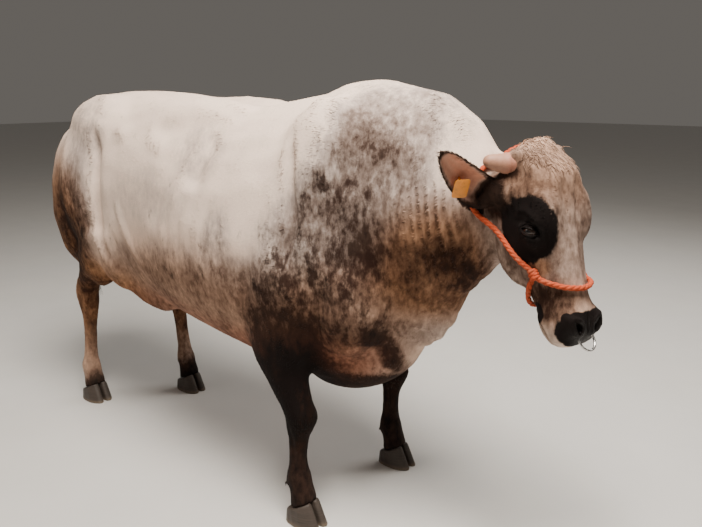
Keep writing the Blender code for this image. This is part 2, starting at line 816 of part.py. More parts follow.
def laid_on(tree, places, radius, clear, steps):
    """A smooth path through these places, pulled onto the surface and held clear of it."""
    path = smooth_path(places, steps)
    for _ in range(3):
        held = []
        for point in path:
            spot, normal, _, gap = tree.find_nearest(point)
            outside = (point - spot).dot(normal) > 0
            away = (point - spot).normalized() if outside and gap > 1e-6 else normal
            held.append(spot + away * (radius + clear))
        inner = [
            (before + 2 * here + after) / 4
            for before, here, after in zip(held, held[1:], held[2:])
        ]
        path = [held[0]] + inner + [held[-1]]
    return held


ROPE_RADIUS = 0.0085
CHEEK_KNOT = (0.372, -0.100, 0.098)


def halter(tree):
    """A rope halter: behind the ears, down both cheeks, over the nose and under the jaw."""
    knot = {side: sided(CHEEK_KNOT, side) for side in (-1, 1)}
    ear_side = {-1: head_turn() @ Vector((0.538, -0.160, 1.185)),
                1: head_turn() @ Vector((0.514, 0.160, 1.180))}
    high = {-1: head_turn() @ Vector((0.546, -0.125, 1.308)),
            1: head_turn() @ Vector((0.512, 0.125, 1.300))}
    top = head_turn() @ Vector((0.560, 0, 1.388))
    crown = [knot[-1], ear_side[-1], high[-1], top, high[1], ear_side[1], knot[1]]
    nose = [knot[-1], sided((0.405, -0.040, 0.080), -1), head_point(0.424, 0, 0),
            sided((0.405, -0.040, 0.080), 1), knot[1]]
    jaw = [knot[-1], sided((0.445, -0.170, 0.062), -1), head_point(0.470, -0.185, 0),
           sided((0.445, -0.170, 0.062), 1), knot[1]]
    ropes = []
    for places, steps in ((crown, 6), (nose, 5), (jaw, 4)):
        path = laid_on(tree, places, ROPE_RADIUS, 0.0026, steps)
        ropes.append(tube("rope", path, [ROPE_RADIUS] * len(path), 5))
    for side in (-1, 1):
        spot, normal, _, _ = tree.find_nearest(knot[side])
        ropes.append(blob(spot + normal * 0.0145, (0.0175, 0.0130, 0.0175), detail=2))
    base = ropes.pop(0)
    boolean(base, "UNION", ropes)
    base.name = "halter"
    return largest_shell(base)


def nose_ring_frame():
    top = head_point(0.545, -0.030, 0)
    fall = turned_way((0.56, 0, -0.83)).normalized()
    return top + fall * RING_RADIUS, fall


RING_RADIUS, RING_WIRE = 0.031, 0.0036


def nose_ring(name, more=0.0, around=24, sides=6):
    centre, fall = nose_ring_frame()
    across = turned_way((0, 1, 0))
    shape = bmesh.new()
    loops = []
    for k in range(around):
        turn = math.tau * k / around
        way = fall * math.cos(turn) + across * math.sin(turn)
        side = fall.cross(across)
        loops.append([
            shape.verts.new(centre + way * RING_RADIUS + (RING_WIRE + more) * (
                way * math.cos(math.tau * j / sides) + side * math.sin(math.tau * j / sides)))
            for j in range(sides)
        ])
    for k in range(around):
        near, far = loops[k], loops[(k + 1) % around]
        for j in range(sides):
            after = (j + 1) % sides
            shape.faces.new((near[j], near[after], far[after], far[j]))
    bmesh.ops.recalc_face_normals(shape, faces=shape.faces[:])
    return from_bmesh(name, shape)


TAG_AT, TAG_OFF = 0.667, 0.011
TAG_WIDTH, TAG_HEIGHT, TAG_CORNER = 0.046, 0.060, 0.008


def tag_parts(more=0.0):
    """The plate of the ear tag, hanging before the right ear's cup, and its pin through the ear."""
    frames = ear_frames(-1)
    point, wide, back = frames[round(TAG_AT * (len(frames) - 1))]
    hole = point - wide * 0.010
    across = Vector((0, 0, 1)).cross(back).normalized()
    down = across.cross(back).normalized()
    if down.z > 0:
        down = -down
    middle = hole + down * (TAG_HEIGHT / 2 - 0.012) - back * TAG_OFF
    outline = []
    for quarter in range(4):
        for turn in (0, 45, 90):
            way = math.radians(90 * quarter + turn)
            x = math.copysign(TAG_WIDTH / 2 - TAG_CORNER, (1, -1, -1, 1)[quarter])
            y = math.copysign(TAG_HEIGHT / 2 - TAG_CORNER, (1, 1, -1, -1)[quarter])
            outline.append((x + TAG_CORNER * math.cos(way), y + TAG_CORNER * math.sin(way)))
    rings = [
        [middle + across * x + down * y + back * deep for x, y in outline] for deep in (-0.0011, 0.0011)]
    pin = tube("pin", [hole - back * TAG_OFF, hole + back * 0.036], [0.0035 + more] * 2, 10)
    return loft("plate", rings), pin


# Parting

def scaled_blob(centre, radii, more):
    return blob(centre, [r + more for r in radii], detail=3)


def leg_cutters(more):
    """The rounded regions that each leg is parted in."""
    hind = hind_feet()
    regions = {}
    for name, side in SIDES.items():
        regions["foreleg_" + name] = scaled_blob(
            (-0.070, side * 0.300, 0.250), (0.235, 0.190, 0.455), more)
        regions["hindleg_" + name] = scaled_blob(
            ((hind[name] - 1.270) / 2, side * 0.285, 0.390), (0.350, 0.215, 0.500), more)
    return regions


PLACES = {
    "torso": (-0.75, 0, 1.05),
    "neck": (0.36, 0, 1.15),
    "head": (0.75, 0, 1.10),
    "ear_R": (0.577, -0.214, 1.30),
    "ear_L": (0.640, 0.190, 1.25),
    "horn_R": (0.630, -0.135, 1.335),
    "horn_L": (0.703, 0.136, 1.335),
    "tail": (-1.70, 0, 1.10),
}


def copy_of(obj, name):
    return add_object(name, obj.data.copy())


def parted(flesh, cutters):
    """Cuts the flesh apart, and names each piece by the place that it is nearest to."""
    boolean(flesh, "DIFFERENCE", cutters)
    at = points_of(flesh.data)
    faces = flesh.data.polygons
    best = {}
    for shell in shells(flesh.data):
        corners = {v for index in shell for v in faces[index].vertices}
        low, high = at[list(corners)].min(axis=0), at[list(corners)].max(axis=0)
        middle, size = Vector((low + high) / 2), float(np.prod(high - low))
        name = min(PLACES, key=lambda place: (middle - Vector(PLACES[place])).length)
        if size > best.get(name, (0, None))[0]:
            best[name] = (size, shell)
    nodes = {
        name: only_faces(name, flesh.data, shell) for name, (size, shell) in best.items()
    }
    bpy.data.objects.remove(flesh)
    return nodes


def bvh(obj):
    mesh = obj.data
    mesh.calc_loop_triangles()
    return BVHTree.FromPolygons(
        [v.co.copy() for v in mesh.vertices], [tuple(t.vertices) for t in mesh.loop_triangles])


def path_plate(path, index, radius):
    """A cut square to a path, just past its radius."""
    along = path[index + 1] - path[index - 1]
    return plate(path[index], along, radius * 3.4, radius * 3.4)


def build():
    clear_scene()
    flesh = fused_flesh()
    surface = bvh(flesh)
    growths = [tail()] + poll_locks(surface)
    for name, side in SIDES.items():
        growths += [ear("ear_" + name, side), horn("horn_" + name, side)] + lids(side)
    boolean(flesh, "UNION", growths)

    legs = {}
    inner, outer = leg_cutters(0.0), leg_cutters(CUT)
    for name, region in inner.items():
        leg = boolean(copy_of(flesh, name), "INTERSECT", [region])
        foot_x = 0.0 if name.startswith("fore") else hind_feet()[name[-1]]
        tread = FORE_TREAD if name.startswith("fore") else HIND_TREAD
        foot = (foot_x, SIDES[name[-1]] * tread / 2)
        boolean(leg, "DIFFERENCE", [coronet_plate(*foot)])
        legs[name] = largest_shell(leg)
        for side_name, out in (("inner", -1), ("outer", 1)):
            made = claw(f"claw_{name}_{side_name}", *foot, out * SIDES[name[-1]])
            legs[made.name] = made

    tail_path = smooth_path(TAIL, 4)
    cutters = list(outer.values()) + [
        plate((0.195, 0, 1.08), (0.93, 0, 0.20), 1.4, 1.4),
        plate(head_turn() @ Vector((0.505, 0, 1.11)), turned_way((0.50, 0, -0.095)), 0.420, 0.9),
        path_plate(tail_path, 8, 0.034),
    ]
    for side in SIDES.values():
        horn_path = smooth_path([sided(p, side) for p in (HORN_ROOT, HORN_BEND, HORN_TIP)], 4)
        cutters.append(plate(horn_path[4], turned_way((-0.25, side, 0.0)), 0.092, 0.090))
        ear_path = [frame[0] for frame in ear_frames(side)]
        cutters.append(path_plate(ear_path, 5, 0.045))
        cutters += [slit_cutter(side), eyeball("socket", side, CUT)] + nostril_cutters(side)
    cutters += [mouth_cutter(surface), nose_ring("ring_channel", CUT * 1.5)]
    nodes = parted(flesh, cutters)
    for name, side in SIDES.items():
        nodes["eye_" + name] = eyeball("eye_" + name, side)
    nodes["halter"] = halter(surface)
    nodes["nose_ring"] = nose_ring("nose_ring")
    hole = tag_parts(CUT)
    bpy.data.objects.remove(hole[0])
    boolean(nodes["ear_R"], "DIFFERENCE", [hole[1]])
    tag, pin = tag_parts()
    nodes["ear_tag"] = largest_shell(boolean(tag, "UNION", [pin]))
    tag.name = "ear_tag"
    nodes["tail_switch"] = tail_switch()
    nodes.update(legs)
    finish(nodes)


def lock(path, width, thickness, facing, turn=0.0):
    """A flat, tapered lock along a path, with its broad side towards `facing`."""
    rings = []
    for k, point in enumerate(path):
        share = k / (len(path) - 1)
        along = (path[min(k + 1, len(path) - 1)] - path[max(k - 1, 0)]).normalized()
        across = along.cross(facing).normalized()
        across = Matrix.Rotation(turn * share, 3, along) @ across
        out = across.cross(along)
        swell = 0.70 + 1.1 * share * (1 - share) if share < 0.6 else 0.964 * (1 - share) / 0.4
        half, deep = width / 2 * max(swell, 0.10), thickness / 2 * max(swell, 0.22)
        rings.append([
            point + across * half, point + out * deep, point - across * half, point - out * deep])
    return loft("lock", rings)


POLL_ROWS = ((14, 5), (34, 8), (54, 12))
LOCK_LENGTH, LOCK_WIDTH, LOCK_THICKNESS = 0.058, 0.025, 0.010


def poll_locks(tree):
    """The rough tuft over the poll, falling over the brow: overlapping locks from a whorl."""
    rng = random.Random(11)
    core = head_point(0.110, -0.105, 0)
    axis = head_vector(-0.96, 0.30, 0)
    ahead = (head_vector(0, 1, 0) - axis * head_vector(0, 1, 0).dot(axis)).normalized()
    aside = axis.cross(ahead)
    made = []
    for row, (angle, count) in enumerate(POLL_ROWS):
        for k in range(count):
            way = math.tau * (k + 0.5 * (row % 2) + rng.uniform(-0.15, 0.15)) / count
            lean = math.radians(angle + rng.uniform(-4, 4))
            flat = ahead * math.cos(way) + aside * math.sin(way)
            ray = axis * math.cos(lean) + flat * math.sin(lean)
            spot, normal = tree.ray_cast(core + ray * 0.5, -ray)[:2]
            straight = head_turn().inverted() @ spot
            if straight.x < 0.625 or spot.z < 1.290 or abs(straight.y) > 0.078:
                continue
            lie = flat * 0.8 + ahead * 0.55 + Vector((0, 0, -0.25))
            lie = (lie - normal * lie.dot(normal)).normalized()
            side = normal.cross(lie) * rng.uniform(-0.35, 0.35)
            length = LOCK_LENGTH * rng.uniform(0.80, 1.15)
            lift = rng.uniform(0.30, 0.46)
            path = []
            for step in range(5):
                t = step / 4
                rise = -0.014 + length * lift * math.sin(math.pi * 0.86 * t)
                path.append(spot + lie * (length * t) + side * (length * t * t) + normal * rise)
            width = LOCK_WIDTH * rng.uniform(0.85, 1.15)
            made.append(lock(path, width, LOCK_THICKNESS, normal, rng.uniform(-0.5, 0.5)))
    return made


SWITCH_TIERS = ((0.045, 5, 0.15), (0.100, 5, 0.18), (0.155, 5, 0.19), (0.200, 4, 0.17))


def tail_switch():
    """The tail's tuft: a core that the locks are rooted in, and four tiers of hanging locks."""
    rng = random.Random(5)
    path = smooth_path(TAIL, 4)
    end, along = path[-1], (path[-1] - path[-2]).normalized()
    rows = [(CUT, 0.017), (0.03, 0.021), (0.10, 0.026), (0.18, 0.024), (0.24, 0.013)]
    spine = [end + along * d + Vector((0.10, 0, 0)) * d * d for d, r in rows]
    core = tube("tail_switch", spine, [r for d, r in rows], 10)
    locks = []
    for tier, (down, count, length) in enumerate(SWITCH_TIERS):
        for k in range(count):
            way = math.tau * (k + 0.5 * (tier % 2) + rng.uniform(-0.15, 0.15)) / count
            out = Vector((math.cos(way), math.sin(way), 0))
            root = end + along * down + Vector((0.10, 0, 0)) * down * down + out * 0.008
            reach = length * rng.uniform(0.88, 1.10)
            spread = rng.uniform(0.030, 0.040)
            sway = Vector((-out.y, out.x, 0)) * rng.uniform(-0.02, 0.02)
            places = []
            for step in range(5):
                t = step / 4
                bulge = out * spread * math.sin(math.pi * min(1, 0.85 * t)) * (1 if t < 1 else 0.9)
                places.append(root + Vector((0, 0, -reach * t)) + bulge + sway * t * t)
            locks.append(lock(places, 0.030 * rng.uniform(0.85, 1.15), 0.011, out, rng.uniform(-0.4, 0.4)))
    return largest_shell(boolean(core, "UNION", locks))


def finish(nodes):
    """Gives each node its material, and sets the bull over the origin."""
    made = {
        "coat": material("coat", COAT, 0.8),
        "horn": material("horn", HORN, 0.5),
        "hoof": material("hoof", HOOF, 0.5),
        "eye": material("eye", EYE, 0.1),
        "rope": material("rope", ROPE, 0.8),
        "tag": material("tag", TAG, 0.4),
        "steel": material("steel", STEEL, 0.3, 1.0),
        "dark_hair": material("dark_hair", DARK_HAIR, 0.8),
    }
    kinds = {
        "claw": "hoof", "horn": "horn", "eye": "eye", "halter": "rope",
        "ear_tag": "tag", "nose": "steel", "tail_switch": "dark_hair",
    }
    low, high = Vector((9, 9, 9)), Vector((-9, -9, -9))
    for name, node in nodes.items():
        kind = next((kinds[k] for k in kinds if name.startswith(k)), "coat")
        node.name = name
        node.data.materials.clear()
        node.data.materials.append(made[kind])
        for vertex in node.data.vertices:
            low = Vector(map(min, low, vertex.co))
            high = Vector(map(max, high, vertex.co))
    shift = Vector((-(low.x + high.x) / 2, -(low.y + high.y) / 2, -low.z))
    print("shift", tuple(round(c, 4) for c in shift), "size", tuple(high - low))
    for node in nodes.values():
        node.data.transform(Matrix.Translation(shift))
    return shift


build()
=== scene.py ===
# %% [markdown]
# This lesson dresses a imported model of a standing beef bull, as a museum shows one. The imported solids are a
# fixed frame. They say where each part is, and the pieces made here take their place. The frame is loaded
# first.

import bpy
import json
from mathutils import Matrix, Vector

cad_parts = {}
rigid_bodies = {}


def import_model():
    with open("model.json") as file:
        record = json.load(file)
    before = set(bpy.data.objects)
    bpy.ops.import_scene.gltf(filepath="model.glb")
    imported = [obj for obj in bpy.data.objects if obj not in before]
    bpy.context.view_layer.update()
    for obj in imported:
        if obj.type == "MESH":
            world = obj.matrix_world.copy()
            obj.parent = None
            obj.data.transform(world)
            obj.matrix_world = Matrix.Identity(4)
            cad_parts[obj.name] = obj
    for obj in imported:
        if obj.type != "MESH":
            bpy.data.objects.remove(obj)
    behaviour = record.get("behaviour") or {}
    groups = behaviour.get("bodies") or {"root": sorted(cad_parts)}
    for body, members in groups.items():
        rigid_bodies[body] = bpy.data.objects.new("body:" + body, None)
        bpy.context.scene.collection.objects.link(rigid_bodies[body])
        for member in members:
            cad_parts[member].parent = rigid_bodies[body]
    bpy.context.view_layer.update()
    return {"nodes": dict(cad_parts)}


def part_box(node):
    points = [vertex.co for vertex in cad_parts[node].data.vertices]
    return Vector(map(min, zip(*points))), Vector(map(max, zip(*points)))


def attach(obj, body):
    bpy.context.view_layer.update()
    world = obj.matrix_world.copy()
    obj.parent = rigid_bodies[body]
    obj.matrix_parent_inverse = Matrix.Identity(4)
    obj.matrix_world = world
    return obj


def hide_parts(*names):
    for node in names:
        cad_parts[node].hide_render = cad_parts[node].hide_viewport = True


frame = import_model()

# %% [markdown]
# Two ways of giving a place are used. The first counts from the floor between the forefeet, forwards, left
# and up. The second counts from the poll, the top of the skull, down the face, forwards out of it, and to
# the left. It turns with the head, which looks a little to its right. The boxes of the forefeet tie both to
# the frame.

# %% Places on the body and on the head
import json
import math

import bpy
import numpy as np
from mathutils import Matrix, Vector
from mathutils.bvhtree import BVHTree

HEEL_BEHIND = 0.052
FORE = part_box("claw_foreleg_R_outer")[0].x + HEEL_BEHIND
MIDDLE = (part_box("claw_foreleg_R_outer")[0].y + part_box("claw_foreleg_L_outer")[1].y) / 2
ORIGIN = Vector((FORE, MIDDLE, 0))
POLL = ORIGIN + Vector((0.787, -0.032, 1.392))
FACE_LEAN, HEAD_SIZE = math.radians(15.0), 0.97
HEAD_TURN = Matrix.Rotation(math.radians(-15.0), 3, "Z")
DOWN = HEAD_TURN @ Vector((math.sin(FACE_LEAN), 0, -math.cos(FACE_LEAN)))
AHEAD = HEAD_TURN @ Vector((math.cos(FACE_LEAN), 0, math.sin(FACE_LEAN)))
LEFT = HEAD_TURN @ Vector((0, 1, 0))
UP = Vector((0, 0, 1))
FRONT = LEFT.cross(UP)
SIDES = {"R": -1, "L": 1}


def on_head(down, forward, out):
    return POLL + (DOWN * down + AHEAD * forward + LEFT * out) * HEAD_SIZE


def head_way(down, forward, out):
    return (DOWN * down + AHEAD * forward + LEFT * out).normalized()


def body_places(points):
    return points - np.array(ORIGIN)


def head_places(points):
    away = (points - np.array(POLL)) / HEAD_SIZE
    return np.stack([away @ np.array(DOWN), away @ np.array(AHEAD), away @ np.array(LEFT)], axis=1)


def beside_head(ahead, left, up):
    """A place close behind the head, which turns with it."""
    return POLL + (FRONT * ahead + LEFT * left + UP * up) * HEAD_SIZE


print("forefeet at", round(FORE, 4), "poll at", tuple(round(c, 3) for c in POLL))

# %% [markdown]
# The camera stands 1.53 m high, ahead of the bull's right shoulder, and looks a little down. Its lens gives
# the photograph's frame of 702 by 527 points.

# %% Camera
LENS_POINTS, FRAME_POINTS, SENSOR = 711, 702, 36
camera = bpy.data.objects.new("camera", bpy.data.cameras.new("camera"))
bpy.context.scene.collection.objects.link(camera)
camera.data.sensor_width = SENSOR
camera.data.lens = LENS_POINTS / FRAME_POINTS * SENSOR
camera.location = ORIGIN + Vector((1.614, -1.920, 1.530))
turn, tilt = math.radians(40.13), math.radians(13.865)
looking = Vector((-math.sin(turn) * math.cos(tilt), math.cos(turn) * math.cos(tilt), -math.sin(tilt)))
camera.rotation_mode = "QUATERNION"
camera.rotation_quaternion = looking.to_track_quat("-Z", "Y")
bpy.context.scene.camera = camera
print("camera at", tuple(round(c, 3) for c in camera.location))

# %% [markdown]
# Small helpers come before the pieces. An operator acts on all that is selected, so each helper clears the
# selection first.

# %% Helpers for objects


def choose(*objects):
    """Selects only these objects and makes the first one active."""
    if bpy.context.mode != "OBJECT":
        bpy.ops.object.mode_set(mode="OBJECT")
    bpy.ops.object.select_all(action="DESELECT")
    for obj in objects:
        obj.select_set(True)
    bpy.context.view_layer.objects.active = objects[0]


def link(name, mesh):
    obj = bpy.data.objects.new(name, mesh)
    bpy.context.scene.collection.objects.link(obj)
    return obj


def added(shape, name, **settings):
    """Adds one of Blender's ready shapes and names it."""
    bpy.ops.object.select_all(action="DESELECT")
    shape(**settings)
    obj = bpy.context.object
    obj.name = name
    return obj


def modified(obj, kind, **settings):
    """Adds one modifier and applies it."""
    choose(obj)
    modifier = obj.modifiers.new(kind, kind)
    for name, value in settings.items():
        setattr(modifier, name, value)
    bpy.ops.object.modifier_apply(modifier=modifier.name)


def edited(obj, *steps):
    """Runs operators on the whole of a mesh in edit mode. A step is an operator and its settings."""
    choose(obj)
    bpy.ops.object.mode_set(mode="EDIT")
    bpy.ops.mesh.select_all(action="SELECT")
    for operator, settings in steps:
        operator(**settings)
    bpy.ops.object.mode_set(mode="OBJECT")


def outward(obj):
    edited(obj, (bpy.ops.mesh.normals_make_consistent, {"inside": False}))


def shade_smooth(obj, angle=180):
    choose(obj)
    bpy.ops.object.shade_smooth_by_angle(angle=math.radians(angle))


print("helpers for objects ready")

# %% [markdown]
# A skin has tens of thousands of points. They could be moved one by one, but one array for all of them is
# read, reckoned with and written far faster.

# %% Helpers for points


def array_of(vectors):
    """These vectors as the rows of one array."""
    return np.array([tuple(vector) for vector in vectors], float)


def points_of(mesh, what="vertices", name="co"):
    found = np.empty(len(getattr(mesh, what)) * 3, np.float32)
    getattr(mesh, what).foreach_get(name, found)
    return found.reshape(-1, 3).astype(float)


def put_points(mesh, at):
    mesh.vertices.foreach_set("co", at.astype(np.float32).ravel())
    mesh.update()


def triangles(mesh):
    mesh.calc_loop_triangles()
    found = np.empty(len(mesh.loop_triangles) * 3, np.int32)
    mesh.loop_triangles.foreach_get("vertices", found)
    return found.reshape(-1, 3)


def surface_of(obj):
    at = points_of(obj.data)
    return BVHTree.FromPolygons(at.tolist(), triangles(obj.data).tolist())


def smoothstep(value, low, high):
    share = np.clip((np.asarray(value, float) - low) / (high - low), 0, 1)
    return share * share * (3 - 2 * share)


def hump(value, middle, width):
    """One where the value is in the middle, falling softly to nothing on both sides."""
    return np.exp(-(((value - middle) / width) ** 2))


print("helpers for points ready")

# %% [markdown]
# Ears, horns, ropes and the core of the tail are rings of points along a bent path. A few places are enough
# for a path, because it is rounded between them. The last helper ends a piece, so that none is left without
# its body and its material.

# %% Helpers for paths and pieces


def smooth_path(places, steps):
    """A rounded path through these places, with this many steps between two of them."""
    places = [Vector(place) for place in places]
    path = []
    for k in range(len(places) - 1):
        a, b = places[max(k - 1, 0)], places[k]
        c, d = places[k + 1], places[min(k + 2, len(places) - 1)]
        for step in range(steps):
            t = step / steps
            path.append((
                b * 2 + (c - a) * t + (a * 2 - b * 5 + c * 4 - d) * t * t
                + (b * 3 - a - c * 3 + d) * t * t * t) / 2)
    return path + [places[-1]]


def mesh_from(name, at, faces):
    mesh = bpy.data.meshes.new(name)
    mesh.from_pydata([tuple(point) for point in at], [], faces)
    mesh.update()
    return mesh


def lofted(name, rings):
    """A closed skin over rings of equal length, with its ends capped."""
    around = len(rings[0])
    at = [tuple(point) for ring in rings for point in ring]
    faces = []
    for k in range(len(rings) - 1):
        for j in range(around):
            after = (j + 1) % around
            faces.append((k * around + j, k * around + after, (k + 1) * around + after, (k + 1) * around + j))
    faces.append(tuple(range(around))[::-1])
    faces.append(tuple(range(len(at) - around, len(at))))
    obj = link(name, mesh_from(name, at, faces))
    outward(obj)
    return obj


def tube(name, path, radii, sides):
    """A tube along a path, which carries its own turn along with it."""
    rings, up = [], Vector((0.13, 0.27, 0.95))
    for k, point in enumerate(path):
        along = (path[min(k + 1, len(path) - 1)] - path[max(k - 1, 0)]).normalized()
        up = (up - along * up.dot(along)).normalized()
        across = along.cross(up)
        rings.append([
            point + (across * math.cos(math.tau * j / sides) + up * math.sin(math.tau * j / sides)) * radii[k]
            for j in range(sides)])
    return lofted(name, rings)


def give(obj, finish, slot, *replaced):
    """Ends a piece: its material, its body and the nodes that it stands for. The slot is not used."""
    obj.data.materials.clear()
    obj.data.materials.append(finish.material)
    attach(obj, "root")
    if replaced:
        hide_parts(*replaced)
    print(obj.name, "has", len(triangles(obj.data)), "triangles")


print("helpers for paths and pieces ready")

# %% [markdown]
# A material is made of nodes. They could be placed and joined one by one, but sums are easier to read as
# sums. So a Wire wraps one output of a node, and adding or multiplying wires adds Math nodes.

# %% Wires between nodes


class Wire:
    """One output of a node, which can be reckoned with."""

    def __init__(self, finish, socket):
        self.finish = finish
        self.socket = socket

    def maths(self, operation, first, second):
        return self.finish.node("ShaderNodeMath", {"operation": operation}, {0: first, 1: second})

    def __add__(self, other):
        return self.maths("ADD", self, other)

    def __sub__(self, other):
        return self.maths("SUBTRACT", self, other)

    def __rsub__(self, other):
        return self.maths("SUBTRACT", other, self)

    def __mul__(self, other):
        return self.maths("MULTIPLY", self, other)

    __radd__ = __add__


print("a wire can be added, subtracted and multiplied")

# %% [markdown]
# A finish owns one material. Each of its methods adds one kind of node and gives back its output as a Wire,
# and the last method feeds wires to the shader. This keeps a finish to a few lines, which read like a
# recipe.

# %% The finish


class Finish:
    """A material: a Principled shader and the nodes that feed it."""

    def __init__(self, name, **fixed):
        self.material = bpy.data.materials.new(name)
        self.material.use_nodes = True
        self.tree = self.material.node_tree
        self.shader = self.tree.nodes["Principled BSDF"]
        for socket, value in fixed.items():
            self.shader.inputs[socket.replace("_", " ")].default_value = value

    def node(self, kind, settings, values, output=0):
        made = self.tree.nodes.new(kind)
        for name, value in settings.items():
            setattr(made, name, value)
        for socket, value in values.items():
            if isinstance(value, Wire):
                self.tree.links.new(value.socket, made.inputs[socket])
            else:
                made.inputs[socket].default_value = value
        return Wire(self, made.outputs[output])

    def place(self):
        return self.node("ShaderNodeTexCoord", {}, {}, "Object")

    def height(self):
        return self.node("ShaderNodeSeparateXYZ", {}, {0: self.place()}, 2)

    def own_map(self, name):
        return self.node("ShaderNodeUVMap", {"uv_map": name}, {})

    def mark(self, name):
        return self.node("ShaderNodeAttribute", {"attribute_name": name}, {}, "Fac")

    def stretched(self, vector, scale, turn=(0, 0, 0)):
        return self.node("ShaderNodeMapping", {}, {"Vector": vector, "Scale": scale, "Rotation": turn})

    def noise(self, vector, scale, detail, roughness):
        return self.node("ShaderNodeTexNoise", {}, {
            "Vector": vector, "Scale": scale, "Detail": detail, "Roughness": roughness})

    def grain(self, stretch, detail, roughness, turn=(0, 0, 0)):
        """Noise in the model's own space, with a scale of its own along each axis."""
        return self.noise(self.stretched(self.place(), stretch, turn), 1.0, detail, roughness)

    def cells(self, vector, scale):
        return self.node("ShaderNodeTexVoronoi", {"feature": "DISTANCE_TO_EDGE"}, {
            "Vector": vector, "Scale": scale})

    def soft(self, value, low, high):
        return self.node("ShaderNodeMapRange", {"interpolation_type": "SMOOTHSTEP"}, {
            "Value": value, "From Min": low, "From Max": high})

    def mix(self, factor, first, second, blend="MIX"):
        return self.node("ShaderNodeMix", {"data_type": "RGBA", "blend_type": blend}, {
            0: factor, 6: first, 7: second}, 2)

    def ramp(self, value, stops):
        made = self.node("ShaderNodeValToRGB", {}, {"Fac": value})
        colours = made.socket.node.color_ramp
        while len(colours.elements) < len(stops):
            colours.elements.new(0.5)
        for element, (place, colour) in zip(colours.elements, stops):
            element.position = place
            element.color = colour
        return made

    def bump(self, height, distance, strength, under=None):
        values = {"Height": height, "Distance": distance, "Strength": strength}
        if under:
            values["Normal"] = under
        return self.node("ShaderNodeBump", {}, values)

    def feed(self, **wires):
        for socket, wire in wires.items():
            self.tree.links.new(wire.socket, self.shader.inputs[socket.replace("_", " ")])


def rgb(red, green, blue):
    return (red, green, blue, 1.0)


print("finishes ready")

# %% [markdown]
# The floor and the light are plain and soft. One big lamp hangs high ahead of the bull's right shoulder,
# because hide shows its folds best under light from above. Two weaker ones, behind its right side and at
# its left, open the shadows.

# %% Floor and light
floor = added(bpy.ops.mesh.primitive_plane_add, "floor", size=60, location=(0, 0, 0))
floor_finish = Finish("pale_floor", Roughness=0.8)
grain = floor_finish.noise(floor_finish.place(), 3.0, 4, 0.6)
floor_finish.feed(Base_Color=floor_finish.mix(grain, rgb(0.60, 0.585, 0.56), rgb(0.66, 0.645, 0.62)))
floor.data.materials.append(floor_finish.material)

world = bpy.data.worlds.new("studio")
world.use_nodes = True
world.node_tree.nodes["Background"].inputs["Color"].default_value = rgb(0.95, 0.88, 0.80)
world.node_tree.nodes["Background"].inputs["Strength"].default_value = 0.14
bpy.context.scene.world = world
BARREL_MIDDLE = (-0.5, 0, 0.9)


def lamp(name, place, power, size, colour):
    data = bpy.data.lights.new(name, "AREA")
    data.energy, data.size, data.color = power, size, colour
    obj = bpy.data.objects.new(name, data)
    bpy.context.scene.collection.objects.link(obj)
    obj.location = ORIGIN + Vector(place)
    aim = ORIGIN + Vector(BARREL_MIDDLE) - obj.location
    obj.rotation_euler = aim.to_track_quat("-Z", "Y").to_euler()


lamp("key", (1.0, -1.0, 4.4), 450, 2.0, (1.0, 0.93, 0.84))
lamp("side", (-3.4, -3.2, 3.2), 24, 2.0, (1.0, 0.93, 0.86))
lamp("far", (0.5, 3.6, 4.2), 120, 3.0, (1.0, 0.96, 0.91))

# %% [markdown]
# The hide is one skin without seams. The solids of the flesh are cut apart with thin gaps, so copies of
# them are joined and remeshed on a fine lattice, which closes the gaps. The eyes are added to fill their
# sockets. Smoothing that pushes back after each pull takes the flat faces away and keeps the size.

# %% One skin from the flesh
LEGS = ["foreleg_R", "foreleg_L", "hindleg_R", "hindleg_L"]
FLESH = ["torso", "neck", "head", "tail"] + LEGS
LATTICE, MERGE_GAP = 0.0135, 0.00002

copies = [link("copy", frame["nodes"][name].data.copy()) for name in FLESH + ["eye_R", "eye_L"]]
choose(*copies)
bpy.ops.object.join()
skin = bpy.context.object
skin.name = "skin"
edited(skin, (bpy.ops.mesh.remove_doubles, {"threshold": MERGE_GAP}))
modified(skin, "REMESH", mode="VOXEL", voxel_size=LATTICE)


def edges_of(mesh):
    found = np.empty(len(mesh.edges) * 2, np.int32)
    mesh.edges.foreach_get("vertices", found)
    return found.reshape(-1, 2)


def relaxed(mesh, weight, passes):
    """Moves each point towards the middle of its neighbours, then most of the way back."""
    at, edges = points_of(mesh), edges_of(mesh)
    count = len(at)
    a, b = edges[:, 0], edges[:, 1]
    links = np.maximum(np.bincount(edges.ravel(), minlength=count), 1)
    for _ in range(passes):
        for pull in (0.5, -0.53):
            step = np.empty_like(at)
            for axis in range(3):
                total = np.bincount(a, at[b, axis], count) + np.bincount(b, at[a, axis], count)
                step[:, axis] = total / links - at[:, axis]
            at += (pull * weight)[:, None] * step
    put_points(mesh, at)


def head_share(places):
    """One on the head, falling to nothing on the neck."""
    away = (places - np.array(POLL - ORIGIN)) / HEAD_SIZE
    return smoothstep(away @ np.array(FRONT) + 0.10 * away[:, 2], -0.305, -0.225)


at = points_of(skin.data)
places, heads = body_places(at), head_places(at)
on_leg = 1 - smoothstep(places[:, 2], 0.42, 0.62)
on_tail = 1 - smoothstep(places[:, 0], -1.70, -1.62)
on_poll = head_share(places) * (1 - smoothstep(heads[:, 0], 0.10, 0.17))
weight = 1 - 0.80 * np.maximum(np.maximum(on_leg, on_tail), head_share(places) * (1 - on_poll))
relaxed(skin.data, weight, 48)
print("skin starts with", len(skin.data.polygons), "faces")

# %% [markdown]
# The head, the folds of the neck and the feet need smaller faces than the flank does. Faces are chosen by
# their place and split in four: three times over where a nostril or the mouth will be, and four times where
# an eye will be.

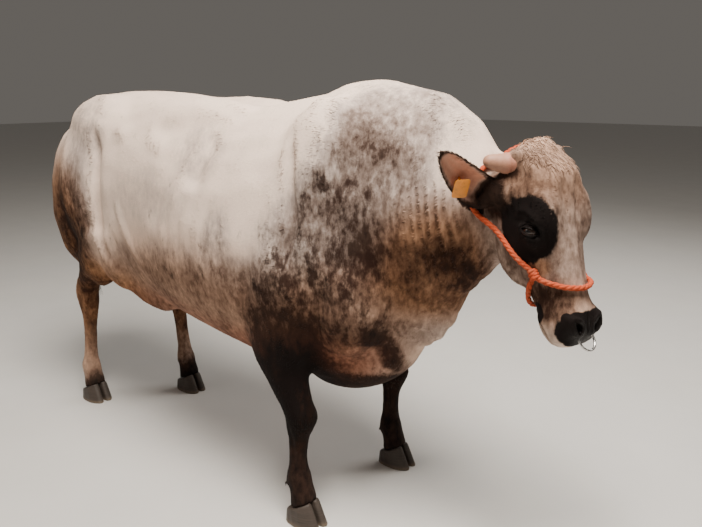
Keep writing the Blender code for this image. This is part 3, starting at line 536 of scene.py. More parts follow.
# %% Finer where the detail is
EYE_RADIUS, EYE_DOWN, EYE_BACK, EYE_OUT = 0.023, 0.243, 0.080, 0.120
NOSTRIL = [
    (0.548, -0.020, 0.030), (0.538, -0.013, 0.038), (0.524, -0.011, 0.048),
    (0.511, -0.017, 0.056), (0.504, -0.027, 0.061),
]
MOUTH = [
    (0.572, -0.098, 0.000), (0.568, -0.100, 0.030), (0.550, -0.108, 0.055),
    (0.520, -0.122, 0.070), (0.490, -0.134, 0.076), (0.474, -0.139, 0.076),
]


def eye_axes(side):
    """The middle of an eye, the way out of it, along its slit, and up across that."""
    centre = on_head(EYE_DOWN, -EYE_BACK, side * (EYE_OUT - EYE_RADIUS))
    out = head_way(-0.04, 0.34, side * 0.94)
    slit = head_way(math.sin(math.radians(25)), math.cos(math.radians(25)), 0)
    slit = (slit - out * slit.dot(out)).normalized()
    across = out.cross(slit)
    return centre, out, slit, across if across.z > 0 else -across


def near_path(points, path):
    """How far each point is from a path, and how far along it the nearest place is, from 0 to 1."""
    path = array_of(path)
    gap, share = np.full(len(points), np.inf), np.zeros(len(points))
    for k in range(len(path) - 1):
        step = path[k + 1] - path[k]
        t = np.clip((points - path[k]) @ step / (step @ step), 0, 1)
        away = np.linalg.norm(points - path[k] - t[:, None] * step, axis=1)
        closer = away < gap
        gap[closer] = away[closer]
        share[closer] = (k + t[closer]) / (len(path) - 1)
    return gap, share


def mirrored(points):
    """The same points with both sides of the body laid over each other."""
    return np.stack([points[:, 0], points[:, 1], np.abs(points[:, 2])], axis=1)


def split_where(obj, wanted):
    """Splits the faces in four whose middles are wanted."""
    mesh = obj.data
    centres = points_of(mesh, "polygons", "center")
    chosen = wanted(body_places(centres), mirrored(head_places(centres)))
    mesh.vertices.foreach_set("select", np.zeros(len(mesh.vertices), bool))
    mesh.edges.foreach_set("select", np.zeros(len(mesh.edges), bool))
    mesh.polygons.foreach_set("select", chosen)
    choose(obj)
    bpy.context.tool_settings.mesh_select_mode = (False, False, True)
    bpy.ops.object.mode_set(mode="EDIT")
    bpy.ops.mesh.subdivide(number_cuts=1, ngon=False)
    bpy.ops.object.mode_set(mode="OBJECT")


EYE_SPOT = np.array((EYE_DOWN, -EYE_BACK + 0.02, EYE_OUT))


def near_eye(heads):
    return np.linalg.norm(heads - EYE_SPOT, axis=1)


split_where(skin, lambda places, heads: (places[:, 0] > 0.30) | (places[:, 2] < 0.40))
relaxed(skin.data, np.full(len(skin.data.vertices), 0.7), 3)
split_where(skin, lambda places, heads: (places[:, 0] > 0.55) & (
    (heads[:, 0] > 0.43) | (near_eye(heads) < 0.062)))
split_where(skin, lambda places, heads: (places[:, 0] > 0.55) & (
    (near_path(heads, NOSTRIL)[0] < 0.026) | (near_path(heads, MOUTH)[0] < 0.015)
    | (near_eye(heads) < 0.042)))
split_where(skin, lambda places, heads: (places[:, 0] > 0.55) & (near_eye(heads) < 0.030))
head_part = head_share(body_places(points_of(skin.data)))
relaxed(skin.data, 0.8 * head_part, 8)
print("skin now has", len(triangles(skin.data)), "triangles")

# %% [markdown]
# A sculptor's strokes give the hide its life: a groove or a ridge follows a short path and fades at its
# ends. The flank, thigh and shoulder have a few broad ones, laid over both sides at once in side view.

# %% Strokes on the body
TAPER = 0.25


def normals_of(mesh):
    return points_of(mesh, "vertex_normals", "vector")


def stroke(flat, path, width, height):
    """How far each point moves out for one ridge, or in for one groove, along a path."""
    gap, share = near_path(flat, path)
    ends = smoothstep(share, -0.001, TAPER) * smoothstep(1 - share, -0.001, TAPER)
    return height * hump(gap, 0, width) * ends


BODY_STROKES = [
    ([(-1.19, 1.40), (-1.15, 1.24), (-1.165, 1.05), (-1.15, 0.88), (-1.10, 0.77)], 0.020, -0.032),
    ([(-1.05, 1.36), (-1.09, 1.20), (-1.08, 1.02), (-1.04, 0.90)], 0.060, 0.007),
    ([(-1.36, 1.30), (-1.40, 1.10), (-1.40, 0.92)], 0.045, 0.008),
    ([(-0.50, 1.385), (-0.57, 1.27), (-0.66, 1.12), (-0.74, 0.98)], 0.038, -0.010),
    ([(-0.84, 1.40), (-0.76, 1.33), (-0.66, 1.31)], 0.035, 0.008),
    ([(-0.80, 0.78), (-0.90, 0.88), (-0.97, 1.00), (-1.00, 1.10)], 0.022, 0.008),
    ([(-0.86, 0.74), (-0.96, 0.85), (-1.03, 0.98)], 0.018, -0.007),
    ([(-0.42, 1.38), (-0.46, 1.28), (-0.48, 1.16)], 0.050, -0.020),
    ([(-0.03, 1.42), (-0.01, 1.27), (0.02, 1.08), (-0.03, 0.94)], 0.020, -0.018),
    ([(-0.09, 1.38), (-0.075, 1.20), (-0.07, 1.00)], 0.035, 0.005),
    ([(-0.13, 1.02), (-0.16, 0.90), (-0.22, 0.78)], 0.022, -0.007),
    ([(0.14, 1.42), (0.06, 1.22), (0.05, 1.05), (0.12, 0.92)], 0.040, 0.008),
    ([(0.20, 1.34), (0.16, 1.18), (0.19, 1.02)], 0.022, -0.006),
    ([(-0.04, 0.98), (0.02, 0.86), (0.00, 0.74)], 0.035, 0.008),
    ([(0.13, 0.90), (0.10, 0.80), (0.06, 0.70)], 0.018, -0.007),
    ([(-0.02, 0.42), (-0.015, 0.30), (-0.01, 0.18)], 0.010, -0.005),
    ([(-1.49, 0.42), (-1.47, 0.30), (-1.45, 0.18)], 0.010, -0.004),
    ([(-1.22, 0.42), (-1.20, 0.30), (-1.18, 0.18)], 0.010, -0.004),
]
RIBS, RIB_STEP = 6, 0.075
for k in range(RIBS):
    rib = [(-0.26 - RIB_STEP * k, 1.20), (-0.31 - RIB_STEP * k, 1.05), (-0.29 - RIB_STEP * k, 0.90)]
    BODY_STROKES.append((rib, 0.020, -0.0022))

at, out = points_of(skin.data), normals_of(skin.data)
places = body_places(at)
sideways = smoothstep(np.abs(out[:, 1]), 0.15, 0.65)
lift = np.zeros(len(at))
for path, width, height in BODY_STROKES:
    lift += stroke(places[:, [0, 2]], path, width, height) * sideways


FINE_FOLD, BROAD_FOLD, LONG_FOLD = 0.024, 0.041, 0.062


def neck_folds(places):
    """The fine upright folds of loose hide behind the jaw: their height, and where they are."""
    x, z = places[:, 0], places[:, 2]
    waver = 0.35 * np.sin(z * 23 + x * 9) + 0.25 * np.sin(z * 41 - x * 17)
    along = x + 0.30 * (z - 1.0) * np.abs(z - 1.0)
    folds = 0.6 * np.sin(along * math.tau / FINE_FOLD + waver * 2.6)
    folds += 0.4 * np.sin(along * math.tau / BROAD_FOLD - waver * 3.4)
    there = smoothstep(x, 0.34, 0.47) * smoothstep(z, 0.88, 1.02) * (1 - smoothstep(z, 1.16, 1.30))
    return folds, there * (1 - head_share(places)), waver


folds, there, waver = neck_folds(places)
lift += 0.0070 * folds * there * smoothstep(np.abs(out[:, 1]), 0.1, 0.5)
long_folds = np.sin((places[:, 0] * 0.85 + 0.50 * places[:, 2]) * math.tau / LONG_FOLD + waver * 2.4)
dewlap = smoothstep(places[:, 0], 0.20, 0.34) * (1 - smoothstep(places[:, 2], 0.86, 1.04))
lift += 0.0018 * long_folds * dewlap * (1 - head_share(places))
lift *= 1 - head_share(places)
put_points(skin.data, at + out * lift[:, None])
print("strokes on the body:", len(BODY_STROKES), "deepest", round(float(lift.min()), 4))

# %% [markdown]
# The face gets shorter and finer strokes: the ridge of bone over the eye, the crest of the cheek, the edge
# of the jaw muscle, a vein, the long bones of the nose and the folds between the ear and the eye. Side
# strokes are given as down and forward, and front strokes as down and out.

# %% Strokes on the head
FACE_SIDE = [
    ([(0.175, -0.125), (0.182, -0.080), (0.205, -0.048), (0.240, -0.030)], 0.013, 0.0055),
    ([(0.205, -0.140), (0.210, -0.098), (0.222, -0.066)], 0.006, -0.0030),
    ([(0.305, -0.125), (0.330, -0.100), (0.385, -0.083), (0.425, -0.078)], 0.012, 0.0050),
    ([(0.330, -0.130), (0.365, -0.112), (0.420, -0.104)], 0.012, -0.0040),
    ([(0.205, -0.215), (0.270, -0.235), (0.335, -0.215), (0.372, -0.165)], 0.020, 0.0050),
    ([(0.330, -0.135), (0.362, -0.165), (0.368, -0.205)], 0.011, -0.0055),
    ([(0.300, -0.075), (0.345, -0.066), (0.400, -0.070), (0.448, -0.082)], 0.0038, 0.0018),
    ([(0.360, -0.068), (0.390, -0.090), (0.430, -0.112)], 0.0034, 0.0014),
    ([(0.285, -0.038), (0.360, -0.030), (0.440, -0.026)], 0.010, 0.0035),
    ([(0.300, -0.056), (0.370, -0.050), (0.440, -0.050)], 0.011, -0.0035),
    ([(0.075, -0.118), (0.130, -0.126), (0.195, -0.132)], 0.0065, -0.0048),
    ([(0.090, -0.100), (0.140, -0.104), (0.190, -0.112)], 0.0060, -0.0042),
    ([(0.085, -0.139), (0.150, -0.150), (0.215, -0.158)], 0.0065, -0.0042),
    ([(0.095, -0.109), (0.140, -0.115), (0.190, -0.122)], 0.0055, 0.0032),
    ([(0.160, -0.165), (0.215, -0.175), (0.260, -0.178)], 0.012, 0.0030),
    ([(0.455, -0.128), (0.470, -0.150), (0.476, -0.170)], 0.0050, -0.0026),
    ([(0.445, -0.118), (0.452, -0.140), (0.456, -0.162)], 0.0050, -0.0022),
    ([(0.478, -0.060), (0.500, -0.074), (0.520, -0.086)], 0.0060, -0.0020),
]
FACE_FRONT = [
    ([(0.060, 0.072), (0.140, 0.062), (0.215, 0.072)], 0.015, 0.0045),
    ([(0.085, 0.030), (0.150, 0.027), (0.215, 0.020), (0.270, 0.014)], 0.0065, -0.0050),
    ([(0.090, 0.050), (0.150, 0.050), (0.220, 0.044)], 0.010, 0.0028),
    ([(0.290, 0.000), (0.380, 0.000), (0.470, 0.000)], 0.022, 0.0030),
    ([(0.490, 0.000), (0.520, 0.000), (0.566, 0.000)], 0.0035, -0.0042),
]


def face_lift(at, out):
    heads, ways = head_places(at), head_places(out + np.array(POLL)) * HEAD_SIZE
    front = np.stack([heads[:, 0], np.abs(heads[:, 2])], axis=1)
    lift = np.zeros(len(at))
    for path, width, height in FACE_SIDE:
        lift += stroke(heads[:, :2], path, width, height) * smoothstep(np.abs(ways[:, 2]), 0.2, 0.6)
    for path, width, height in FACE_FRONT:
        lift += stroke(front, path, width, height) * smoothstep(ways[:, 1], 0.15, 0.6)
    return lift * head_share(body_places(at))


at, out = points_of(skin.data), normals_of(skin.data)
at += out * face_lift(at, out)[:, None]
put_points(skin.data, at)
print("strokes on the head:", len(FACE_SIDE) + len(FACE_FRONT))

# %% [markdown]
# The whole skin then sinks by the depth of the coat, which the tufts fill again. A lid lies on the ball of
# the eye with a rolled rim and a crease above it. It could be cut out, but a cut leaves a hard edge. So the
# skin is set on the ball by its distance from the almond of the slit, and inside the almond it drops behind
# the ball.

# %% Coat depth and lids
COAT_DEPTH = 0.0035
SLIT_HALF, SLIT_UP, SLIT_LOW = 0.0240, 0.0088, 0.0068
LID = 0.0040

out = normals_of(skin.data)
bare = smoothstep(head_places(at)[:, 0], 0.43, 0.50) * head_share(body_places(at))
at -= out * (COAT_DEPTH * (1 - 0.6 * bare))[:, None]


def slit_gap(u, v):
    """How far a point is outside the almond of the slit. It is negative inside."""
    half = np.where(v > 0, SLIT_UP, SLIT_LOW) * np.clip(1 - (u / SLIT_HALF) ** 2, 0, 1) ** 0.62
    beyond = np.hypot(np.maximum(np.abs(u) - SLIT_HALF, 0), v)
    return np.where(np.abs(u) < SLIT_HALF, np.abs(v) - half, beyond)


def in_axes(at, axes):
    away = at - np.array(axes[0])
    return [away @ np.array(axis) for axis in axes[1:]]


for side in SIDES.values():
    axes = eye_axes(side)
    o, u, v = in_axes(at, axes)
    close = (o > 0.002) & (np.hypot(u, v) < 0.046)
    gap = slit_gap(u, v)
    rim = 0.0016 * hump(gap, 0.0018, 0.0020)
    crease = 0.0026 * hump(gap, 0.0075, 0.0020) * np.where(v > 0, 1.0, 0.55)
    fold = 0.0018 * hump(gap, 0.0125, 0.0028) * np.where(v > 0, 1.0, 0.7)
    radius = EYE_RADIUS + LID + rim - crease
    lid = np.sqrt(np.maximum(radius ** 2 - u * u - v * v, (0.45 * EYE_RADIUS) ** 2))
    lid -= 0.0105 * smoothstep(-gap, 0.0, 0.0013)
    hold = 1 - smoothstep(gap, 0.0060, 0.0210)
    moved = np.where(close, o + (lid - o) * hold + fold * close, o)
    at += (moved - o)[:, None] * np.array(axes[1])
put_points(skin.data, at)
print("coat depth", COAT_DEPTH, "m, slit of an eye", 2 * SLIT_HALF, "m long")

# %% [markdown]
# The mouth is a thin groove between two soft lips. Its line is dropped onto the skin first, because its
# places follow the lips only roughly. A nostril is a pit with a raised rim, sunk along a short bent path.

# %% Mouth and nostrils
tree = surface_of(skin)


def on_skin(point, inside):
    """The place where a line from outside, through a point, first meets the skin."""
    hit = tree.ray_cast(inside + (point - inside) * 3, inside - point)
    return hit[0] if hit[0] else point


mouth_middle = on_head(0.500, -0.110, 0)
mouth_line = [on_head(d, f, -o) for d, f, o in MOUTH[::-1]] + [on_head(*place) for place in MOUTH[1:]]
mouth_line = [on_skin(point, mouth_middle) for point in smooth_path(mouth_line, 6)]
out = normals_of(skin.data)
gap, share = near_path(at, mouth_line)
from_corner = np.minimum(share, 1 - share)
groove = -0.0085 * hump(gap, 0, 0.0026) * smoothstep(from_corner, 0.0, 0.06)
lips = 0.0032 * hump(gap, 0.0095, 0.0060) * smoothstep(from_corner, 0.02, 0.16)
at += out * (groove + lips)[:, None]
for side in SIDES.values():
    path = smooth_path([on_head(d, f, side * o) for d, f, o in NOSTRIL], 6)
    gap, share = near_path(at, path)
    radius = np.interp(share, [0, 0.25, 0.5, 0.8, 1], [0.0078, 0.0140, 0.0125, 0.0072, 0.0035])
    pit = 1 - smoothstep(gap, 0.55 * radius, 1.12 * radius)
    inward = np.array(head_way(-0.55, -0.80, -side * 0.25))
    rim = 0.0030 * hump(gap, 1.55 * radius, 0.0042)
    at += pit[:, None] * inward * 0.026 + out * rim[:, None]
put_points(skin.data, at)
relaxed(skin.data, 0.35 * head_share(body_places(at)), 1)
print("mouth line", round(sum((b - a).length for a, b in zip(mouth_line, mouth_line[1:])), 3), "m long")

# %% [markdown]
# An ear is a leaf-shaped cup on a solid root. It is built as rings from the root to the tip, each a
# crescent that opens wider towards the tip. It is then fused with the skin and smoothed at its root, so
# that no seam shows.

# %% Ears
EAR_ROOT = (0.118, -0.165, 0.085)
EAR_REST = {
    -1: ((0.100, -0.190, 0.180), (-0.010, -0.150, 0.330)),
    1: ((0.098, -0.192, 0.172), (0.080, -0.222, 0.285)),
}
EAR_FACING = {-1: (0.78, -0.52, -0.20), 1: (0.80, 0.40, -0.20)}
EAR_STEPS, EAR_ACROSS, EAR_CURL = 30, 17, 2.2


def ear_frames(side, steps):
    """Points along an ear, with the way across it and the way to its back."""
    places = [on_head(d, f, side * o) for d, f, o in (EAR_ROOT, *EAR_REST[side])]
    path = smooth_path(places, steps // 2)
    facing = (HEAD_TURN @ Vector(EAR_FACING[side])).normalized()
    frames = []
    for k, point in enumerate(path):
        along = (path[min(k + 1, len(path) - 1)] - path[max(k - 1, 0)]).normalized()
        back = -(facing - along * facing.dot(along)).normalized()
        frames.append((point, side * along.cross(back), back))
    return frames


def ear_half_width(share):
    return 0.021 * (1 - share) ** 0.5 + 0.038 * max(math.sin(math.pi * share ** 1.12), 0) ** 0.9 + 0.003


def ear_depth(share):
    return 0.034 * (1 - share) ** 0.8 + 0.008


def ear(side):
    rings = []
    for k, (point, wide, back) in enumerate(ear_frames(side, EAR_STEPS)):
        share = k / EAR_STEPS
        width, depth = ear_half_width(share) - 0.0015, ear_depth(share)
        wall = 0.0062 - 0.0030 * share
        cup = float(smoothstep(share, 0.10, 0.46))
        ring = [point + wide * (s * width) + back * (depth * (1 - abs(s) ** EAR_CURL))
                for s in np.linspace(-1, 1, EAR_ACROSS)]
        for s in np.linspace(1, -1, EAR_ACROSS)[1:-1]:
            solid = -0.018 * (1 - s * s)
            hollow = depth * (1 - abs(s) ** EAR_CURL) - wall
            ridges = 0.0016 * math.cos(s * 9) * cup * (1 - share)
            ring.append(point + wide * (s * (width - wall * 0.5 * cup)) + back * (
                solid * (1 - cup) + (hollow - ridges) * cup))
        rings.append(ring)
    return lofted("ear", rings)


hide_without_ears = surface_of(skin)
for side in SIDES.values():
    shape = ear(side)
    modified(skin, "BOOLEAN", operation="UNION", object=shape, solver="MANIFOLD")
    bpy.data.objects.remove(shape)
at = points_of(skin.data)
for side in SIDES.values():
    frames = ear_frames(side, EAR_STEPS)
    gap = np.min([np.linalg.norm(at - np.array(frames[k][0]), axis=1) for k in (3, 5, 7)], axis=0)
    relaxed(skin.data, 0.8 * (1 - smoothstep(gap, 0.042, 0.060)), 6)
shade_smooth(skin)
print("skin with ears has", len(triangles(skin.data)), "triangles")

# %% [markdown]
# The markings are seven numbers at every point: how shaded, flecked, brown, pink, black, wet and pale the
# hide is there. Each is made of soft ellipsoids: a middle, three radii and an amount. The skin and the
# tufts carry the same numbers, so they always agree. The blots and the speckle come later, from noise in
# the finish. The shade is mostly the hide's own grey, but some of it is painted shade: low on the flank and
# belly, in the flank hollow, behind the thighs, under the horns and in the neck folds.

# %% Markings
BODY_MARKS = {
    "shade": [
        ((0.25, 0.24, 1.20), (0.19, 0.30, 0.28), 0.42), ((0.30, 0.10, 1.44), (0.20, 0.30, 0.14), 0.20),
        ((0.14, 0.28, 1.00), (0.24, 0.30, 0.22), 0.36), ((0.54, 0.16, 1.05), (0.11, 0.30, 0.18), 0.32),
        ((0.47, 0.14, 0.94), (0.14, 0.30, 0.13), 0.42),
        ((-0.05, 0.30, 0.72), (0.15, 0.25, 0.10), 0.64), ((-0.06, 0.28, 0.50), (0.19, 0.25, 0.20), 0.98),
        ((0.02, 0.27, 0.20), (0.16, 0.20, 0.26), 0.88), ((0.14, 0.00, 0.51), (0.30, 0.30, 0.055), 0.82),
        ((0.255, 0.16, 0.66), (0.027, 0.20, 0.12), 0.66), ((0.15, 0.16, 0.77), (0.18, 0.20, 0.06), 0.28),
        ((0.12, 0.18, 0.67), (0.18, 0.20, 0.10), 0.10),
        ((0.36, 0.10, 0.80), (0.10, 0.20, 0.12), 0.22), ((-0.14, 0.34, 0.86), (0.18, 0.25, 0.10), 0.22),
        ((-1.36, 0.22, 0.06), (0.22, 0.20, 0.10), 0.92), ((-1.12, 0.20, 0.06), (0.20, 0.20, 0.10), 0.90),
        # Partly painted shade: the two marks on the next line darken the rear of the thighs, between the hind
        # legs, for their brown hair and for the shade there.
        ((-1.50, 0.14, 0.92), (0.14, 0.24, 0.30), 0.60), ((-1.35, 0.24, 0.98), (0.14, 0.20, 0.24), 0.56),
        ((-1.42, 0.16, 0.55), (0.18, 0.16, 0.28), 0.52), ((-1.16, 0.20, 0.50), (0.18, 0.20, 0.22), 0.22),
        # Partly painted shade: the first mark on the next line darkens the lower flank and belly over their
        # real tan, where shade falls under the body. The marks at (-0.48, 1.31) and (-1.25, 1.33) are painted
        # shade in the flank hollow and on the upper thigh.
        ((-0.45, 0.30, 0.66), (0.80, 0.40, 0.28), 0.36), ((-0.48, 0.34, 1.31), (0.13, 0.25, 0.10), 0.11),
        ((-0.31, 0.34, 1.00), (0.07, 0.25, 0.12), 0.16), ((-1.25, 0.24, 1.33), (0.13, 0.25, 0.15), 0.13),
        ((-0.78, 0.36, 1.12), (0.26, 0.25, 0.12), 0.07),
        ((-1.36, 0.22, 0.24), (0.22, 0.20, 0.16), 0.34), ((-1.12, 0.20, 0.20), (0.20, 0.20, 0.10), 0.30),
        ((-1.75, 0.00, 0.80), (0.10, 0.12, 0.26), 0.75), ((-1.72, 0.00, 1.15), (0.12, 0.10, 0.22), 0.25),
    ],
    "fleck": [
        ((0.14, 0.28, 0.96), (0.18, 0.30, 0.13), 0.92), ((0.18, 0.26, 1.11), (0.16, 0.30, 0.16), 0.62),
        ((0.20, 0.26, 1.24), (0.15, 0.30, 0.10), 0.44), ((0.30, 0.22, 1.32), (0.18, 0.30, 0.16), 0.22),
        ((0.02, 0.33, 0.91), (0.17, 0.25, 0.11), 0.80), ((-0.20, 0.34, 0.95), (0.26, 0.25, 0.15), 0.25),
        ((0.12, 0.20, 0.80), (0.24, 0.25, 0.10), 0.56), ((0.29, 0.14, 0.64), (0.13, 0.20, 0.12), 0.34),
        ((-0.56, 0.30, 0.88), (0.16, 0.25, 0.12), 0.22), ((-1.20, 0.26, 0.90), (0.24, 0.25, 0.18), 0.20),
        ((0.02, 0.28, 0.38), (0.12, 0.20, 0.07), 0.30),
    ],
    "brown": [
        ((0.46, 0.16, 0.98), (0.20, 0.30, 0.22), 0.85), ((0.20, 0.30, 0.84), (0.24, 0.30, 0.16), 0.45),
        # The brown at (-0.50, 0.60) is partly the real tan of the lower flank and belly, and partly painted
        # warm shade under the body.
        ((0.16, 0.00, 0.62), (0.34, 0.30, 0.16), 0.28), ((-0.50, 0.30, 0.60), (0.85, 0.40, 0.36), 0.66),
        ((-1.44, 0.20, 0.58), (0.22, 0.30, 0.30), 0.90), ((-1.16, 0.20, 0.55), (0.22, 0.30, 0.24), 0.75),
        # The brown at (-1.46, 0.95), behind the thighs, is partly real brown hair and partly painted shade
        # between the hind legs.
        ((0.02, 0.28, 0.38), (0.14, 0.20, 0.09), 0.85), ((-1.46, 0.18, 0.95), (0.24, 0.30, 0.30), 0.85),
        ((-1.42, 0.20, 0.26), (0.20, 0.20, 0.22), 0.65), ((0.02, 0.27, 0.22), (0.16, 0.20, 0.14), 0.35),
    ],
    "pink": [
        ((-0.60, 0.10, 0.60), (0.70, 0.30, 0.14), 0.42), ((-0.10, 0.20, 0.60), (0.30, 0.20, 0.12), 0.50),
        ((0.12, 0.18, 0.66), (0.16, 0.20, 0.10), 0.42), ((-1.30, 0.05, 0.80), (0.24, 0.10, 0.20), 0.35),
    ],
    "black": [], "wet": [], "pale": [((-1.45, 0.22, 0.26), (0.20, 0.20, 0.15), 0.10)],
}
HEAD_MARKS = {
    "shade": [
        ((0.28, -0.12, 0.07), (0.28, 0.20, 0.22), 0.38), ((0.10, -0.14, 0.09), (0.12, 0.08, 0.06), 0.18),
        ((0.125, -0.190, 0.100), (0.065, 0.045, 0.060), 0.66),
        ((0.165, -0.165, 0.100), (0.050, 0.026, 0.060), 0.45),
        # Painted shadow: the next mark darkens the head just below each horn's root, where the horn casts its
        # shadow.
        ((0.062, -0.140, 0.105), (0.020, 0.040, 0.034), 0.70),
        ((0.46, -0.070, 0.074), (0.060, 0.080, 0.050), 0.48),
        ((0.450, -0.120, 0.060), (0.060, 0.060, 0.060), 0.30),
    ],
    "fleck": [
        ((0.30, -0.10, 0.09), (0.22, 0.18, 0.20), 0.22), ((0.12, -0.16, 0.09), (0.10, 0.07, 0.08), 0.28),
        ((0.46, -0.060, 0.070), (0.060, 0.080, 0.050), 0.34),
    ],
    "brown": [
        ((0.28, -0.10, 0.08), (0.26, 0.20, 0.20), 0.34), ((0.06, -0.08, 0.00), (0.14, 0.16, 0.18), 0.50),
        ((0.350, -0.085, 0.090), (0.034, 0.034, 0.050), 0.75),
        ((0.47, -0.08, 0.04), (0.08, 0.10, 0.10), 0.45),
    ],
    "pink": [((0.56, -0.15, 0.00), (0.06, 0.07, 0.06), 0.40)],
    "black": [
        ((0.541, -0.030, 0.000), (0.054, 0.058, 0.098), 1.0),
        ((0.516, -0.008, 0.045), (0.026, 0.030, 0.032), 1.0),
        ((0.484, -0.140, 0.076), (0.034, 0.038, 0.040), 1.0),
    ],
    "wet": [
        ((0.545, -0.016, 0.000), (0.044, 0.044, 0.066), 1.0),
        ((0.243, -0.060, 0.122), (0.026, 0.032, 0.040), 1.0),
    ],
    "pale": [((0.548, -0.125, 0.000), (0.050, 0.062, 0.090), 0.65)],
}
EYE_PATCH = [
    ((0.243, -0.082, -0.125), (0.106, 0.112, 0.080), 1.0),
    ((0.243, -0.115, 0.130), (0.095, 0.085, 0.070), 1.0),
]
print("rows on the body and the head:", [
    sum(len(rows) for rows in marks.values()) for marks in (BODY_MARKS, HEAD_MARKS)])

# %% [markdown]
# The markings are read at any points, of the skin or of the roots of tufts. The body is read with both
# sides laid over each other, and the eye patches are read apart, because they differ. An ear is dark
# outside and pale in its cup, and the neck folds get a little painted shade where they are deep.

# %% Markings at any points


def spread(points, blobs):
    """The joint amount of soft ellipsoids at each point."""
    left = np.ones(len(points))
    for centre, radii, amount in blobs:
        away = np.linalg.norm((points - np.array(centre)) / np.array(radii), axis=1)
        left *= 1 - amount * (1 - smoothstep(away, 0.62, 1.38))
    return 1 - left


def ear_marks(points):
    """How much a point is on an ear, and how much inside its cup."""
    on, cup = np.zeros(len(points)), np.zeros(len(points))
    shares = [k / EAR_STEPS for k in range(EAR_STEPS + 1)]
    for side in SIDES.values():
        path, wide, back = (array_of(vectors) for vectors in zip(*ear_frames(side, EAR_STEPS)))
        near = np.argmin(np.linalg.norm(points[:, None, :] - path[None], axis=2), axis=1)
        wide, back, share = wide[near], back[near], near / EAR_STEPS
        half = np.array([ear_half_width(share) for share in shares])[near]
        deep = np.array([ear_depth(share) for share in shares])[near]
        away = points - path[near]
        across, behind = np.sum(away * wide, axis=1) / half, np.sum(away * back, axis=1)
        close = (np.linalg.norm(away, axis=1) < half + 0.03) & (np.abs(head_places(points)[:, 2]) > 0.118)
        mine = close * smoothstep(share, 0.10, 0.26)
        on = np.maximum(on, mine)
        inside = smoothstep(deep * (1 - np.abs(across) ** EAR_CURL) - 0.0015 - behind, 0.0, 0.003)
        lower = smoothstep(-across * np.sign(wide[:, 2]), -0.15, 0.75)
        within = 1 - smoothstep(np.abs(across), 0.72, 0.90)
        past_root, before_tip = smoothstep(share, 0.36, 0.54), 1 - smoothstep(share, 0.88, 0.96)
        cup = np.maximum(cup, mine * inside * within * past_root * before_tip * (1 - 0.34 * lower))
    return on, cup


def marks_at(points):
    """Every marking at these points, each from 0 to 1."""
    places, heads = body_places(points), mirrored(head_places(points))
    places = np.stack([places[:, 0], np.abs(places[:, 1]), places[:, 2]], axis=1)
    head = head_share(places)
    marks = {}
    for name in BODY_MARKS:
        marks[name] = spread(places, BODY_MARKS[name]) * (1 - head) + spread(heads, HEAD_MARKS[name]) * head
    marks["black"] = np.maximum(marks["black"], spread(head_places(points), EYE_PATCH) * head)
    folds, there, _ = neck_folds(places)
    # Painted shade: the neck folds are darkened in their depths, where shade falls.
    marks["shade"] += 0.13 * there * (1 - smoothstep(folds, -0.8, 0.3)) * (1 - marks["shade"])
    near = (heads[:, 0] < 0.22) & (np.abs(heads[:, 2]) > 0.10) & (places[:, 0] > 0.4)
    on, cup = np.zeros(len(points)), np.zeros(len(points))
    on[near], cup[near] = ear_marks(points[near])
    marks["shade"] = marks["shade"] * (1 - on) + on * (0.86 - 0.76 * smoothstep(cup, 0.0, 0.6))
    marks["fleck"] *= 1 - on
    marks["pink"] = marks["pink"] * (1 - on) + 0.95 * cup
    marks["brown"] = marks["brown"] * (1 - on) + 0.35 * on
    marks["black"] *= 1 - on
    pit = np.zeros(len(points))
    muzzle = (heads[:, 0] > 0.44) & (head > 0.5)
    pit[muzzle] = 1 - smoothstep(near_path(heads[muzzle], NOSTRIL)[0], 0.014, 0.022)
    marks["black"] = np.maximum(marks["black"], pit)
    marks["pale"] *= 1 - marks["black"]
    return marks


def carry(mesh, marks):
    for name, values in marks.items():
        mesh.attributes.new(name, "FLOAT", "POINT").data.foreach_set("value", values.astype(np.float32))


skin_at = points_of(skin.data)
skin_marks = marks_at(skin_at)
carry(skin.data, skin_marks)
print({name: round(float(values.mean()), 3) for name, values in skin_marks.items()})

# %% [markdown]
# The colour of the hide goes from cream through grey to nearly black. Noise, drawn out upwards as real
# speckle is, breaks the grey up most where it is halfway. Brown and pink are laid over it as thin washes.

# %% Colour shared by skin and coat
CREAM, PALE_GREY, GREY = rgb(0.80, 0.635, 0.530), rgb(0.42, 0.340, 0.300), rgb(0.190, 0.140, 0.118)
DARK, BLACK, FLECK = rgb(0.045, 0.026, 0.019), rgb(0.0045, 0.0022, 0.0018), rgb(0.024, 0.011, 0.0075)
BROWN_WASH, PINK_WASH, MUZZLE = rgb(0.68, 0.39, 0.19), rgb(0.95, 0.58, 0.47), rgb(0.44, 0.34, 0.27)
LOW_TONE = rgb(0.78, 0.765, 0.75)


